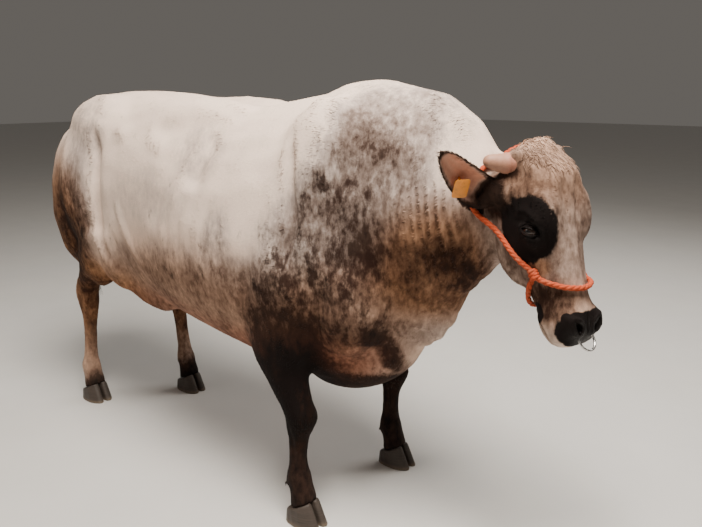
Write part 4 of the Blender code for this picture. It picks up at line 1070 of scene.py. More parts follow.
def coat_colour(finish, tone):
    """The hide's colour, a little darker where the tone is low."""
    place = finish.place()
    tall = finish.stretched(place, (1.0, 1.0, 0.55))
    clouds = finish.noise(tall, 9.0, 6, 0.62)
    specks = finish.noise(tall, 52.0, 4, 0.62)
    patch = (clouds - 0.5) * 3.0 + (specks - 0.5) * 3.2
    shade = finish.mark("shade")
    grey = shade + patch * shade * (1.12 - shade) * 0.85
    grey = grey + (finish.noise(place, 5.0, 4, 0.55) - 0.5) * 0.34
    base = finish.ramp(grey, [(0.0, CREAM), (0.22, PALE_GREY), (0.45, GREY), (0.68, DARK), (1.0, BLACK)])
    blots = finish.noise(tall, 21.0, 6, 0.66) + finish.mark("fleck") * 0.27 + (specks - 0.5) * 0.28
    base = finish.mix(finish.soft(blots, 0.63, 0.86) * 0.92, base, FLECK)
    base = finish.mix(finish.mark("brown"), base, finish.mix(1.0, base, BROWN_WASH, "MULTIPLY"))
    base = finish.mix(finish.mark("pink"), base, finish.mix(1.0, base, PINK_WASH, "MULTIPLY"))
    base = finish.mix(finish.mark("pale") * 0.75, base, MUZZLE)
    edge = finish.mark("black") + (specks - 0.5) * 0.5
    base = finish.mix(finish.soft(edge, 0.36, 0.56), base, BLACK)
    light = finish.ramp(tone, [(0.0, LOW_TONE), (0.5, rgb(0.93, 0.93, 0.93)), (1.0, rgb(1, 1, 1))])
    return finish.mix(1.0, base, light, "MULTIPLY")


DULL = {"Specular_IOR_Level": 0.12, "Sheen_Weight": 0.01, "Sheen_Roughness": 0.5}
skin_finish = Finish("hide", Roughness=0.8, **DULL)
place = skin_finish.place()
hairs = skin_finish.grain((120, 420, 260), 3, 0.6, (0, 0.45, 0))
upright = skin_finish.grain((420, 420, 110), 3, 0.6)
legs = skin_finish.soft(skin_finish.height(), 0.75, 0.60)
lie = hairs * (1 - legs) + upright * legs
colour = coat_colour(skin_finish, lie * 1.1)
wet = skin_finish.mark("wet")
cobble = skin_finish.soft(skin_finish.cells(place, 210.0), 0.0, 0.16)
relief = lie * (1 - wet) * 0.9 + cobble * wet
relief = skin_finish.bump(relief, 0.0011, 0.75)
relief = skin_finish.bump(skin_finish.noise(place, 60.0, 4, 0.6), 0.0016, 0.35, relief)
skin_finish.feed(Base_Color=colour, Roughness=0.82 - wet * 0.48, Normal=relief)
print("hide finish has", len(skin_finish.tree.nodes), "nodes")

# %% [markdown]
# The skin is unwrapped once. Its map is used by the skin, and each tuft of the coat takes a small patch of
# it at its own root, so that a baked picture finds every tuft's colour where it grows.

# %% Unwrap the skin
MAP = "OFBake"
while skin.data.uv_layers:
    skin.data.uv_layers.remove(skin.data.uv_layers[0])
skin.data.uv_layers.new(name=MAP)
edited(skin, (bpy.ops.uv.smart_project, {"angle_limit": math.radians(66), "island_margin": 0.001}))
give(skin, skin_finish, "coat", *FLESH, "ear_R", "ear_L")

# %% [markdown]
# The coat is sown with seeded chance, so that it is the same every time. A triangle of the skin is picked
# by its area and density, and a place in it by two random shares. The place keeps its normal and its spot
# on the map.

# %% Places for tufts
rng = np.random.default_rng(7)
skin_triangles = triangles(skin.data)
corners = skin_at[skin_triangles]
first_edges, second_edges = corners[:, 1] - corners[:, 0], corners[:, 2] - corners[:, 0]
skin_areas = np.linalg.norm(np.cross(first_edges, second_edges), axis=1) / 2
skin_normals = normals_of(skin.data)
loops = np.empty(len(skin.data.loop_triangles) * 3, np.int32)
skin.data.loop_triangles.foreach_get("loops", loops)
flat = np.empty(len(skin.data.loops) * 2, np.float32)
skin.data.uv_layers[MAP].data.foreach_get("uv", flat)
skin_map = flat.reshape(-1, 2)[loops].reshape(-1, 3, 2)
middles = corners.mean(axis=1)


def unit(vectors):
    return vectors / np.maximum(np.linalg.norm(vectors, axis=1, keepdims=True), 1e-9)


def square_to(vectors, axes):
    """Each vector turned square to its own axis."""
    return unit(vectors - axes * np.sum(vectors * axes, axis=1, keepdims=True))


def roots_on_skin(density):
    """Seeded places on the skin, with their normals and their places on its map."""
    expected = skin_areas * density
    total = int(expected.sum())
    chosen = np.searchsorted(np.cumsum(expected), rng.uniform(0, expected.sum(), total))
    chosen = np.minimum(chosen, len(expected) - 1)
    a, b = rng.uniform(size=(2, total, 1))
    over = (a + b) > 1
    a, b = np.where(over, 1 - a, a), np.where(over, 1 - b, b)
    shares = np.concatenate([1 - a - b, a, b], axis=1)[:, :, None]
    roots = (corners[chosen] * shares).sum(axis=1)
    normals = unit((skin_normals[skin_triangles[chosen]] * shares).sum(axis=1))
    return roots, normals, (skin_map[chosen] * shares).sum(axis=1)


print("skin of", round(float(skin_areas.sum()), 2), "square metres")

# %% [markdown]
# Real hair lies back and down on the body and straight down on the legs. On the face it parts from a whorl
# on the forehead. Waves turn it a little everywhere, because hair combed one way looks like cloth.

# %% The lie of the coat


def lie_of(roots, normals, jitter):
    """The way that the coat lies: back and down on the body, down the legs, up and back on the face."""
    places, heads = body_places(roots), head_places(roots)
    side = np.sign(places[:, 1])
    way = np.stack([np.full(len(roots), -0.86), side * 0.10, np.full(len(roots), -0.46)], axis=1)
    leg = (1 - smoothstep(places[:, 2], 0.55, 0.80))[:, None]
    chest = (smoothstep(places[:, 0], 0.15, 0.35) * (1 - smoothstep(places[:, 2], 0.75, 1.10)))[:, None]
    neck = (smoothstep(places[:, 0], 0.10, 0.30))[:, None]
    way = way * (1 - 0.5 * neck) + np.array((-0.35, 0, -0.60)) * 0.5 * neck
    way = way * (1 - chest) + np.array((-0.12, 0, -1.0)) * chest
    way = way * (1 - leg) + np.array((-0.18, 0, -1.0)) * leg
    whorl = np.stack([heads[:, 0] - 0.16, np.zeros(len(roots)), heads[:, 2] * 1.3], axis=1)
    face = unit(whorl[:, :1] * np.array(DOWN) + whorl[:, 2:] * np.array(LEFT)) * 0.8 - np.array(AHEAD) * 0.35
    head = head_share(places)[:, None]
    way = way * (1 - head) + face * head
    swirl = 0.22 * np.sin(places[:, 0] * 9 + places[:, 2] * 7)
    swirl += 0.16 * np.sin(places[:, 2] * 17 - places[:, 0] * 5)
    way = square_to(way, normals)
    across = np.cross(normals, way)
    angle = (swirl + rng.normal(0, jitter, len(roots)))[:, None]
    return way * np.cos(angle) + across * np.sin(angle)


print("lie of the coat ready")

# %% [markdown]
# A tuft is a thin three-sided lock that leaves the skin, bends over and lies along the body, ending in a
# point. Hair curves could be used, but only solid mesh travels with the model. All tufts of a piece are
# reckoned at once, as arrays, because there are tens of thousands.

# %% Locks of hair
SINK, PATCH = 0.0012, 0.0015


def locks(name, roots, normals, ways, maps, length, width, rise, settle=0.75, sag=0.0, curl=0.0, rows=3,
          thick=0.38):
    """One mesh of all these locks. Each has a root, bends over and ends in a point."""
    count = len(roots)
    length, width, rise = (np.broadcast_to(value, count).astype(float) for value in (length, width, rise))
    aside = np.cross(normals, ways)
    turn = rng.normal(0, 0.5, count) * curl
    wave = rng.uniform(0, math.tau, count)
    at = np.empty((count, 3 * rows - 2, 3))
    for row in range(rows):
        t = row / (rows - 1)
        up = length * rise * (t - settle * t * t)
        side_way = length * (turn * t * t + 0.10 * curl * np.sin(wave + t * 7) * t)
        centre = roots + ways * (length * t)[:, None] + normals * (up - SINK)[:, None]
        centre += aside * side_way[:, None]
        centre[:, 2] -= length * sag * t * t
        if row == rows - 1:
            at[:, 3 * row] = centre
            break
        swell = (0.80 + 0.6 * t - 1.0 * t * t) * (1 - t ** 3)
        half = (width * 0.5 * swell)[:, None]
        at[:, 3 * row] = centre + aside * half
        at[:, 3 * row + 1] = centre - aside * half
        at[:, 3 * row + 2] = centre + normals * (half * 2 * thick)
    faces = [(0, 1, 2)]
    for row in range(rows - 2):
        a = 3 * row
        for j, k in ((0, 1), (1, 2), (2, 0)):
            faces += [(a + k, a + j, a + 3 + j), (a + k, a + 3 + j, a + 3 + k)]
    a, tip = 3 * (rows - 2), 3 * (rows - 1)
    faces += [(a + 1, a, tip), (a + 2, a + 1, tip), (a, a + 2, tip)]
    per = at.shape[1]
    faces = np.array(faces, np.int32)
    index = (faces[None] + (np.arange(count) * per)[:, None, None]).reshape(-1)
    mesh = bpy.data.meshes.new(name)
    mesh.vertices.add(count * per)
    mesh.vertices.foreach_set("co", at.reshape(-1).astype(np.float32))
    mesh.loops.add(len(index))
    mesh.loops.foreach_set("vertex_index", index)
    mesh.polygons.add(len(index) // 3)
    mesh.polygons.foreach_set("loop_start", np.arange(0, len(index), 3, dtype=np.int32))
    mesh.update(calc_edges=True)
    patch = np.array([
        (PATCH * (k % 3 - 1) if k < tip else 0.0, 2 * PATCH * (k // 3) / (rows - 1) - PATCH)
        for k in range(per)])
    layer = mesh.uv_layers.new(name=MAP)
    where = (maps[:, None, :] + patch[None]).reshape(-1, 2)
    layer.data.foreach_set("uv", where[index].astype(np.float32).ravel())
    marks = {mark: np.repeat(values, per) for mark, values in marks_at(roots).items()}
    marks["tone"] = np.repeat(rng.uniform(0, 1, count), per)
    carry(mesh, marks)
    mesh.polygons.foreach_set("use_smooth", np.ones(len(mesh.polygons), bool))
    return link(name, mesh)


print("locks sink", SINK, "m into the skin")

# %% [markdown]
# The finish of the coat is the hide's own colour. A random tone for each tuft and fine strands along it set
# one tuft apart from the next.

# %% Finish of the coat
coat_finish = Finish("coat_hair", Roughness=0.72, **DULL)
tone = coat_finish.mark("tone")
strands = coat_finish.grain((260, 520, 420), 2, 0.5, (0, 0.45, 0))
coat_finish.feed(
    Base_Color=coat_colour(coat_finish, tone * 0.65 + strands * 0.55),
    Normal=coat_finish.bump(strands, 0.0005, 0.5))
print("coat finish has", len(coat_finish.tree.nodes), "nodes")

# %% [markdown]
# The short coat grows closest on the face and the feet, and not on the nose, in the slits of the eyes, in
# the mouth or in the cups of the ears. Densities count tufts to the square metre.

# %% Density of the coat
BODY_TUFTS, HEAD_TUFTS, MORE_ON_FEET = 15000, 34000, 12000
body_middles, head_middles = body_places(middles), mirrored(head_places(middles))
middle_marks = marks_at(middles)
on_head_share = head_share(body_middles)
density = BODY_TUFTS * (1 - on_head_share) + HEAD_TUFTS * on_head_share
density += MORE_ON_FEET * (1 - smoothstep(body_middles[:, 2], 0.35, 0.50)) * (1 - on_head_share)
density *= 1 - smoothstep(middle_marks["wet"], 0.15, 0.35) * smoothstep(head_middles[:, 0], 0.44, 0.46)
on_ear, in_cup = ear_marks(middles)
density *= 1 - smoothstep(in_cup, 0.2, 0.5)
density = density * (1 - on_ear) + density * on_ear * 0.8
for side in SIDES.values():
    o, u, v = in_axes(middles, eye_axes(side))
    density *= np.where((o > 0) & (np.hypot(u, v) < 0.04), smoothstep(slit_gap(u, v), 0.0025, 0.006), 1)
density *= smoothstep(near_path(middles, mouth_line)[0], 0.003, 0.006)
density *= 1 - (1 - smoothstep(near_path(head_middles, NOSTRIL)[0], 0.012, 0.018)) * on_head_share
print("tufts to sow:", int((skin_areas * density).sum()))

# %% [markdown]
# The tufts are shorter and thinner on the face, the muzzle and the feet. The coat is cut into pieces by
# place, so that none of them grows too heavy.

# %% Short coat
BODY_HAIR, HEAD_HAIR = 0.0170, 0.0115
BODY_WIDTH, HEAD_WIDTH = 0.0040, 0.0022
roots, normals, maps = roots_on_skin(density)
places, heads = body_places(roots), mirrored(head_places(roots))
head = head_share(places)
foot = 1 - smoothstep(places[:, 2], 0.10, 0.45)
muzzle = smoothstep(heads[:, 0], 0.36, 0.50) * head
length = (BODY_HAIR * (1 - head) + HEAD_HAIR * head) * (1 - 0.35 * foot) * (1 - 0.50 * muzzle)
length = length * rng.uniform(0.75, 1.25, len(roots))
width = (BODY_WIDTH * (1 - head) + HEAD_WIDTH * head) * (1 - 0.25 * foot) * (1 - 0.30 * muzzle)
rise = 0.10 + 0.08 * head
ways = lie_of(roots, normals, 0.16)
PARTS = ("rump", "thigh", "loin", "barrel", "shoulder", "neck")
NAMES = [f"coat_{part}_{side}" for part in PARTS for side in "RL"]
NAMES += ["coat_hind_legs", "coat_forelegs", "coat_head_R", "coat_head_L"]
section = np.digitize(places[:, 0], (-1.20, -0.85, -0.45, -0.10, 0.18)) * 2 + (places[:, 1] > 0)
section = np.where(places[:, 2] < 0.62, NAMES.index("coat_hind_legs") + (places[:, 0] > -0.6), section)
section = np.where(head > 0.5, NAMES.index("coat_head_R") + (places[:, 1] > 0), section)
for number, name in enumerate(NAMES):
    mine = section == number
    piece = locks(
        name, roots[mine], normals[mine], ways[mine], maps[mine], length[mine], width[mine], rise[mine])
    give(piece, coat_finish, "coat")
print("tufts in the short coat:", len(roots))

# %% [markdown]
# Longer hair grows on the poll, where a rough sandy tuft falls over the brow. Its locks are the same kind
# of mesh with more bends. They fan out sideways and curl a little, because straight ones look like a brush.

# %% Poll
POLL_TUFT_PLACE, POLL_TUFT_RADII = np.array((0.020, -0.070, 0.0)), np.array((0.075, 0.09, 0.085))
POLL_TUFTS = 30000
poll_gap = np.linalg.norm((head_places(middles) - POLL_TUFT_PLACE) / POLL_TUFT_RADII, axis=1)
density = POLL_TUFTS * (1 - smoothstep(poll_gap, 0.75, 1.20)) * on_head_share * (1 - on_ear)
roots, normals, maps = roots_on_skin(density)
heads = head_places(roots)
ways = unit(np.array(AHEAD) * 0.50 + np.array(DOWN) * 0.45 + heads[:, 2:] * 5.0 * np.array(LEFT)
            + rng.normal(0, 0.34, (len(roots), 3)))
ways = square_to(ways, normals)
poll_hair = locks(
    "poll_hair", roots, normals, ways, maps, rng.uniform(0.016, 0.036, len(roots)), 0.0034,
    rng.uniform(0.25, 0.60, len(roots)), settle=0.85, sag=0.20, curl=0.45, rows=6)
give(poll_hair, coat_finish, "coat")

# %% [markdown]
# A fringe grows round the rims of the ears and over their cups. The rim is too thin for a density to find
# it, so each lock's root is found by walking up the ear and stepping across it.

# %% Fringe of the ears
EAR_TUFTS = 900
ear_roots, ear_normals, ear_ways, ear_maps = [], [], [], []
tree = surface_of(skin)
for side in SIDES.values():
    frames = ear_frames(side, EAR_STEPS)
    for _ in range(EAR_TUFTS):
        spot_along = rng.uniform(5, 28.9)
        k = int(spot_along)
        (point, wide, back), after = frames[k], frames[k + 1][0]
        along = (after - point).normalized()
        point = point.lerp(after, spot_along - k)
        edge = 1 if rng.uniform() < 0.5 else -1
        inner = rng.uniform() < 0.5
        s = edge * (rng.uniform(0.45, 0.9) if inner else rng.uniform(0.90, 1.0))
        half = ear_half_width(spot_along / EAR_STEPS)
        spot, normal, face, _ = tree.find_nearest(point + wide * (s * half) - back * 0.002)
        ear_roots.append(tuple(spot))
        ear_normals.append(tuple(normal))
        over = 0.5 if inner else 0.0
        ear_ways.append(tuple(along * rng.uniform(0.7, 1.2) - wide * (edge * over) - back * 0.2))
        ear_maps.append(skin_map[face].mean(axis=0))
roots, normals, ways, maps = (np.array(found) for found in (ear_roots, ear_normals, ear_ways, ear_maps))
ear_hair = locks(
    "ear_hair", roots, normals, square_to(ways, normals), maps, rng.uniform(0.006, 0.011, len(roots)), 0.0016,
    rng.uniform(0.10, 0.40, len(roots)), curl=0.3, rows=5)
give(ear_hair, coat_finish, "coat")

# %% [markdown]
# The switch at the end of the tail is long and dark. Its locks hang from the tail's last stretch and from a
# core inside the tuft, spread a little and end at different heights.

# %% Tail switch
TAIL = [
    (-1.560, 0, 1.420), (-1.645, 0, 1.405), (-1.702, 0, 1.330), (-1.722, -0.006, 1.200),
    (-1.728, -0.024, 1.000), (-1.722, -0.050, 0.800),
]
SWITCH_LOCKS, CORE_BEND = 620, 0.10
tail_path = [ORIGIN + point for point in smooth_path(TAIL, 4)]
tail_end = tail_path[-1]
tail_way = (tail_path[-1] - tail_path[-2]).normalized()
spine = [tail_end + tail_way * d + Vector((CORE_BEND, 0, 0)) * d * d for d in (-0.03, 0.03, 0.10, 0.18, 0.25)]
core = tube("switch_core", spine, [0.014, 0.016, 0.017, 0.013, 0.004], 12)
down = rng.uniform(-0.12, 0.22, SWITCH_LOCKS)
turn = rng.uniform(0, math.tau, SWITCH_LOCKS)
out = np.stack([np.cos(turn), np.sin(turn), np.zeros(SWITCH_LOCKS)], axis=1)
roots = np.array(tail_end) + np.array(tail_way) * down[:, None] + out * 0.014
roots[:, 0] += CORE_BEND * np.maximum(down, 0) ** 2
ways = unit(np.array((0.0, 0.0, -1.0)) + out * 0.16 + rng.normal(0, 0.05, (SWITCH_LOCKS, 3)))
normals = square_to(out, ways)
reach = rng.uniform(0.13, 0.20, SWITCH_LOCKS) * np.where(down < 0, 0.8, 1.0)
reach = np.minimum(reach, roots[:, 2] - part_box("tail_switch")[0].z - 0.002)
tail_hair = locks(
    "tail_hair", roots, normals, ways, np.full((SWITCH_LOCKS, 2), 0.5), reach, 0.0065, 0.10, settle=0.9,
    curl=0.16, rows=8, thick=0.30)
dark_finish = Finish("switch_hair", Roughness=0.55, Specular_IOR_Level=0.35)
strands = dark_finish.grain((380, 380, 24), 3, 0.55)
dark_finish.feed(
    Base_Color=dark_finish.mix(strands, rgb(0.012, 0.009, 0.008), rgb(0.085, 0.058, 0.042)),
    Normal=dark_finish.bump(strands, 0.0008, 0.6))
shade_smooth(core)
give(tail_hair, dark_finish, "dark_hair", "tail_switch")
give(core, dark_finish, "dark_hair")

# %% [markdown]
# The eye is nearly black in cattle: a dark brown iris fills the slit, with a long level pupil. It is one
# wet ball with its pole facing out, and it bulges there as the cornea does. Two marks on it say where its
# ring and its pupil are.

# %% Eyes
CORNEA_BULGE, PUPIL_HALF = 0.075, (0.0085, 0.0040)
eye_finish = Finish("eye", Roughness=0.03, Specular_IOR_Level=0.6, Coat_Weight=1.0, Coat_Roughness=0.02)
ring = eye_finish.mark("ring")
slit = eye_finish.mark("slit")
fibres = eye_finish.grain((900, 900, 900), 3, 0.6)
iris = eye_finish.mix(fibres, rgb(0.010, 0.004, 0.002), rgb(0.038, 0.016, 0.008))
iris = eye_finish.mix(eye_finish.soft(slit, 1.08, 0.92), iris, rgb(0.002, 0.002, 0.003))
white = eye_finish.mix(fibres, rgb(0.06, 0.030, 0.024), rgb(0.12, 0.065, 0.050))
eye_finish.feed(Base_Color=eye_finish.mix(eye_finish.soft(ring, 0.64, 0.72), iris, white))

for name, side in SIDES.items():
    centre, out, slit_way, across = eye_axes(side)
    eye = added(
        bpy.ops.mesh.primitive_uv_sphere_add, "eyeball_" + name, segments=48, ring_count=32,
        radius=EYE_RADIUS - 0.0004)
    local = points_of(eye.data)
    polar = np.arctan2(np.hypot(local[:, 0], local[:, 1]), local[:, 2])
    local *= (1 + CORNEA_BULGE * (1 - smoothstep(polar, 0.30, 0.66)))[:, None]
    pupil = np.hypot(local[:, 0] / PUPIL_HALF[0], local[:, 1] / PUPIL_HALF[1])
    carry(eye.data, {"ring": polar, "slit": np.where(local[:, 2] > 0, pupil, 9.0)})
    put_points(eye.data, np.array(centre) + local @ array_of([slit_way, across, out]))
    outward(eye)
    shade_smooth(eye)
    give(eye, eye_finish, "eye", "eye_" + name)

# %% [markdown]
# The horns are short, thick and blunt, and point out to the sides. Growth rings run round them near the
# root, and the tip is worn smooth. Rings of points are set along a bent path, with the ripple of the growth
# in their radius.

# %% Horns
HORN = ((0.042, -0.118, 0.060), (0.036, -0.134, 0.112), (0.024, -0.152, 0.158))
BLUNT_TIP = ((0.003, 0.0158), (0.006, 0.0134), (0.0085, 0.0105), (0.0100, 0.0072), (0.0108, 0.0030))
HORN_SIDES = 36
horn_finish = Finish("horn", Roughness=0.5, Specular_IOR_Level=0.4)
blotch = horn_finish.noise(horn_finish.place(), 30.0, 5, 0.6)
grain = horn_finish.grain((50, 160, 300), 4, 0.6)
colour = horn_finish.mix(blotch, rgb(0.25, 0.105, 0.065), rgb(0.40, 0.195, 0.125))
colour = horn_finish.mix(horn_finish.mark("root"), colour, rgb(0.34, 0.120, 0.075))
horn_finish.feed(
    Base_Color=horn_finish.mix(grain * 0.50, colour, rgb(0.50, 0.30, 0.20)),
    Roughness=0.38 + grain * 0.30,
    Normal=horn_finish.bump(grain, 0.0012, 0.7))
for name, side in SIDES.items():
    path = smooth_path([on_head(d, f, side * o) for d, f, o in HORN], 14)
    radii = []
    for k in range(len(path)):
        share = k / (len(path) - 1)
        ripple = 0.0006 * math.sin(share * 62) * (1 - share) + 0.0003 * math.sin(share * 141 + side)
        collar = 0.0010 * math.exp(-((share - 0.44) / 0.05) ** 2)
        radii.append(0.0358 - 0.0185 * share ** 1.3 + ripple + collar)
    end, along = path[-1], (path[-1] - path[-2]).normalized()
    for step, radius in BLUNT_TIP:
        path.append(end + along * step)
        radii.append(radius)
    horn = tube("horn_shell_" + name, path, radii, HORN_SIDES)
    shade_smooth(horn, 60)
    share = np.repeat(np.arange(len(path)) / len(path), HORN_SIDES)
    carry(horn.data, {"root": 1 - smoothstep(share, 0.30, 0.55)})
    give(horn, horn_finish, "horn", "horn_" + name)

# %% [markdown]
# Each hoof half starts as a copy of its solid. The copy is bevelled, remeshed and smoothed above its sole,
# and its top is raised a little into the hair of the foot. Fine level ridges and scuffs come from its
# finish.

# %% Hooves
HOOF_LATTICE, HOOF_RAISED, HOOF_DRAWN_IN = 0.0028, 0.006, 0.10
hoof_finish = Finish("hoof", Roughness=0.5, Specular_IOR_Level=0.4)
rings = hoof_finish.grain((14, 14, 330), 4, 0.6)
scuffs = hoof_finish.noise(hoof_finish.place(), 70.0, 6, 0.65)
colour = hoof_finish.mix(rings, rgb(0.014, 0.011, 0.010), rgb(0.085, 0.064, 0.050))
worn = hoof_finish.soft(hoof_finish.height(), 0.022, 0.0) * scuffs
colour = hoof_finish.mix(worn, colour, rgb(0.24, 0.18, 0.12))
hoof_finish.feed(
    Base_Color=colour, Roughness=0.35 + scuffs * 0.40,
    Normal=hoof_finish.bump(rings, 0.0013, 0.8, hoof_finish.bump(scuffs, 0.0006, 0.5)))
for node in sorted(name for name in frame["nodes"] if name.startswith("claw_")):
    claw = link("hoof" + node[4:], frame["nodes"][node].data.copy())
    edited(claw, (bpy.ops.mesh.remove_doubles, {"threshold": MERGE_GAP}),
           (bpy.ops.mesh.dissolve_limited, {"angle_limit": math.radians(3)}))
    modified(claw, "BEVEL", width=0.0025, segments=2, limit_method="ANGLE", angle_limit=math.radians(50))
    modified(claw, "REMESH", mode="VOXEL", voxel_size=HOOF_LATTICE)
    relaxed(claw.data, smoothstep(points_of(claw.data)[:, 2], 0.002, 0.012), 10)
    at = points_of(claw.data)
    middle = at.mean(axis=0)
    top = smoothstep(at[:, 2], at[:, 2].max() - 0.022, at[:, 2].max())
    at[:, 2] += HOOF_RAISED * top
    at[:, :2] += (middle[:2] - at[:, :2]) * (HOOF_DRAWN_IN * top)[:, None]
    at[:, 2] = np.maximum(at[:, 2], 0.0002)
    put_points(claw.data, at)
    shade_smooth(claw, 60)
    give(claw, hoof_finish, "hoof", node)

# %% [markdown]
# A rope is three strands that wind round one path. It could be a plain tube with a bumpy finish, but then
# its edge would be straight, and a twisted rope shows its strands in outline. The path is pulled onto the
# skin and held clear of it, and a map runs along each strand for its fibres.

# %% Laying and winding a rope
STRANDS, STRAND_SIDES = 3, 8
tree = hide_without_ears


def laid_on_skin(places, clear, steps):
    """A path pulled onto the skin and held clear of it."""
    path = smooth_path(places, steps)
    for _ in range(4):
        held = []
        for point in path:
            spot, normal, _, gap = tree.find_nearest(point)
            outside = (point - spot).dot(normal) > 0
            away = (point - spot).normalized() if outside and gap > 1e-5 else normal
            held.append(spot + away * clear)
        inner = [(a + 2 * b + c) / 4 for a, b, c in zip(held, held[1:], held[2:])]
        path = [held[0]] + inner + [held[-1]]
    return path


def evenly(path, step):
    """The same path with a point every `step` metres."""
    path = array_of(path)
    along = np.concatenate([[0], np.cumsum(np.linalg.norm(np.diff(path, axis=0), axis=1))])
    wanted = np.linspace(0, along[-1], max(int(along[-1] / step), 4))
    return [Vector([np.interp(d, along, path[:, axis]) for axis in range(3)]) for d in wanted]


def strands_round(path, radius, strand, twist):
    """Tubes wound round a path, with a map that runs along each."""
    made, up = [], Vector((0.2, 0.3, 0.93))
    frames, gone = [], 0.0
    for k, point in enumerate(path):
        along = (path[min(k + 1, len(path) - 1)] - path[max(k - 1, 0)]).normalized()
        up = (up - along * up.dot(along)).normalized()
        gone += (point - path[k - 1]).length if k else 0.0
        frames.append((point, along.cross(up), up, gone))
    for number in range(STRANDS):
        wound = []
        for point, across, up_way, gone in frames:
            angle = math.tau * (gone / twist + number / STRANDS)
            wound.append(point + (across * math.cos(angle) + up_way * math.sin(angle)) * (radius - strand))
        piece = tube("rope", wound, [strand] * len(wound), STRAND_SIDES)
        layer = piece.data.uv_layers.new(name="along")
        for polygon in piece.data.polygons:
            for loop in polygon.loop_indices:
                index = piece.data.loops[loop].vertex_index
                step, around = divmod(index, STRAND_SIDES)
                layer.data[loop].uv = (frames[step][3], around / STRAND_SIDES)
        made.append(piece)
    return made


print("rope of", STRANDS, "strands")

# %% [markdown]
# The halter is of orange rope. Its paths run from a knot on each cheek: up behind the ear and over the
# neck, across the nose, and under the jaw. They are held clear of the skin by a little more than the rope's
# own radius. Each knot is a short coil.

# %% Rope halter
ROPE_RADIUS, STRAND, TWIST, OFF_HIDE = 0.0085, 0.0052, 0.052, 0.0022
KNOT_RADIUS, KNOT_STRAND, KNOT_TURNS, KNOT_STEPS = 0.0072, 0.0044, 2.6, 60
KNOT_OFF_HIDE, KNOT_LENGTH = 0.0125, 0.026
CHEEK_KNOT = (0.372, -0.100, 0.098)
knot = {side: on_head(CHEEK_KNOT[0], CHEEK_KNOT[1], side * CHEEK_KNOT[2]) for side in (-1, 1)}
ear_side = {-1: beside_head(-0.193, -0.160, -0.207), 1: beside_head(-0.217, 0.160, -0.212)}
high = {-1: beside_head(-0.185, -0.125, -0.084), 1: beside_head(-0.219, 0.125, -0.092)}
top = beside_head(-0.171, 0, -0.004)
crown = [knot[-1], ear_side[-1], high[-1], top, high[1], ear_side[1], knot[1]]
nose = [(0.405, -0.040, -0.080), (0.424, 0, 0), (0.405, -0.040, 0.080)]
jaw = [(0.445, -0.170, -0.062), (0.470, -0.185, 0), (0.445, -0.170, 0.062)]
nose, jaw = ([knot[-1]] + [on_head(*place) for place in places] + [knot[1]] for places in (nose, jaw))
strands, rope_paths = [], []
for places, steps in ((crown, 12), (nose, 10), (jaw, 8)):
    path = evenly(laid_on_skin(places, ROPE_RADIUS + OFF_HIDE, steps), 0.0035)
    rope_paths.append(path)
    strands += strands_round(path, ROPE_RADIUS, STRAND, TWIST)
for side in (-1, 1):
    spot, normal, _, _ = tree.find_nearest(knot[side])
    middle = spot + normal * KNOT_OFF_HIDE
    lengthways = head_way(0.8, 0.35, 0)
    lengthways = (lengthways - normal * lengthways.dot(normal)).normalized()
    across = normal.cross(lengthways)
    coil = []
    for k in range(KNOT_STEPS + 1):
        turn = math.tau * KNOT_TURNS * k / KNOT_STEPS
        slide = (k / KNOT_STEPS - 0.5) * KNOT_LENGTH
        away = normal * math.cos(turn) * 0.0085 + across * math.sin(turn) * 0.0135
        coil.append(middle + lengthways * slide + away)
    strands += strands_round(evenly(coil, 0.003), KNOT_RADIUS, KNOT_STRAND, 0.045)
print("rope runs in metres, crown, nose and jaw:", [
    round(sum((b - a).length for a, b in zip(path, path[1:])), 3) for path in rope_paths])
choose(*strands)
bpy.ops.object.join()
halter = bpy.context.object
halter.name = "rope_halter"
shade_smooth(halter)
rope_finish = Finish("orange_rope", Roughness=0.75, Specular_IOR_Level=0.3)
fibre = rope_finish.stretched(rope_finish.own_map("along"), (260, 5, 1), (0, 0, 0.5))
fibre = rope_finish.noise(fibre, 1.0, 3, 0.6)
worn = rope_finish.noise(rope_finish.place(), 22.0, 5, 0.6)
colour = rope_finish.mix(fibre, rgb(0.24, 0.026, 0.008), rgb(0.58, 0.090, 0.024))
rope_finish.feed(
    Base_Color=rope_finish.mix(rope_finish.soft(worn, 0.52, 0.74) * 0.45, colour, rgb(0.46, 0.19, 0.10)),
    Roughness=0.60 + fibre * 0.30, Normal=rope_finish.bump(fibre, 0.0008, 0.8))
give(halter, rope_finish, "rope", "halter")

# %% [markdown]
# The ear tag is a bare plate of orange plastic with rounded corners, hung on a pin through the ear, with a
# button at the back. The plate starts as a flat box. Its corners and edges are bevelled, and it is bent a
# little. The discs are the boss on its front, the pin and the button. Each row gives a distance behind the
# plate's middle, a radius and a height.

# %% Ear tag
TAG_WIDTH, TAG_HEIGHT, TAG_THICK, TAG_CORNER, TAG_EDGE, TAG_OFF = 0.046, 0.060, 0.0022, 0.008, 0.0006, 0.011
TAG_ALONG_EAR, HOLE_ASIDE, HOLE_BELOW_EDGE = 0.667, 0.010, 0.012
frames = ear_frames(-1, 12)
point, wide, back = frames[round(TAG_ALONG_EAR * (len(frames) - 1))]
hole = point - wide * HOLE_ASIDE
tag_across = Vector((0, 0, 1)).cross(back).normalized()
tag_down = tag_across.cross(back).normalized()
tag_down = -tag_down if tag_down.z > 0 else tag_down
hang = TAG_HEIGHT / 2 - HOLE_BELOW_EDGE
DISCS = ((-0.0005, 0.0085, 0.0034), (0.019, 0.0032, 0.040), (0.039, 0.0110, 0.0026))
tag = added(bpy.ops.mesh.primitive_cube_add, "tag_plate", size=1)
put_points(tag.data, points_of(tag.data) * (TAG_WIDTH, TAG_HEIGHT, TAG_THICK))
ends = points_of(tag.data)[edges_of(tag.data)]
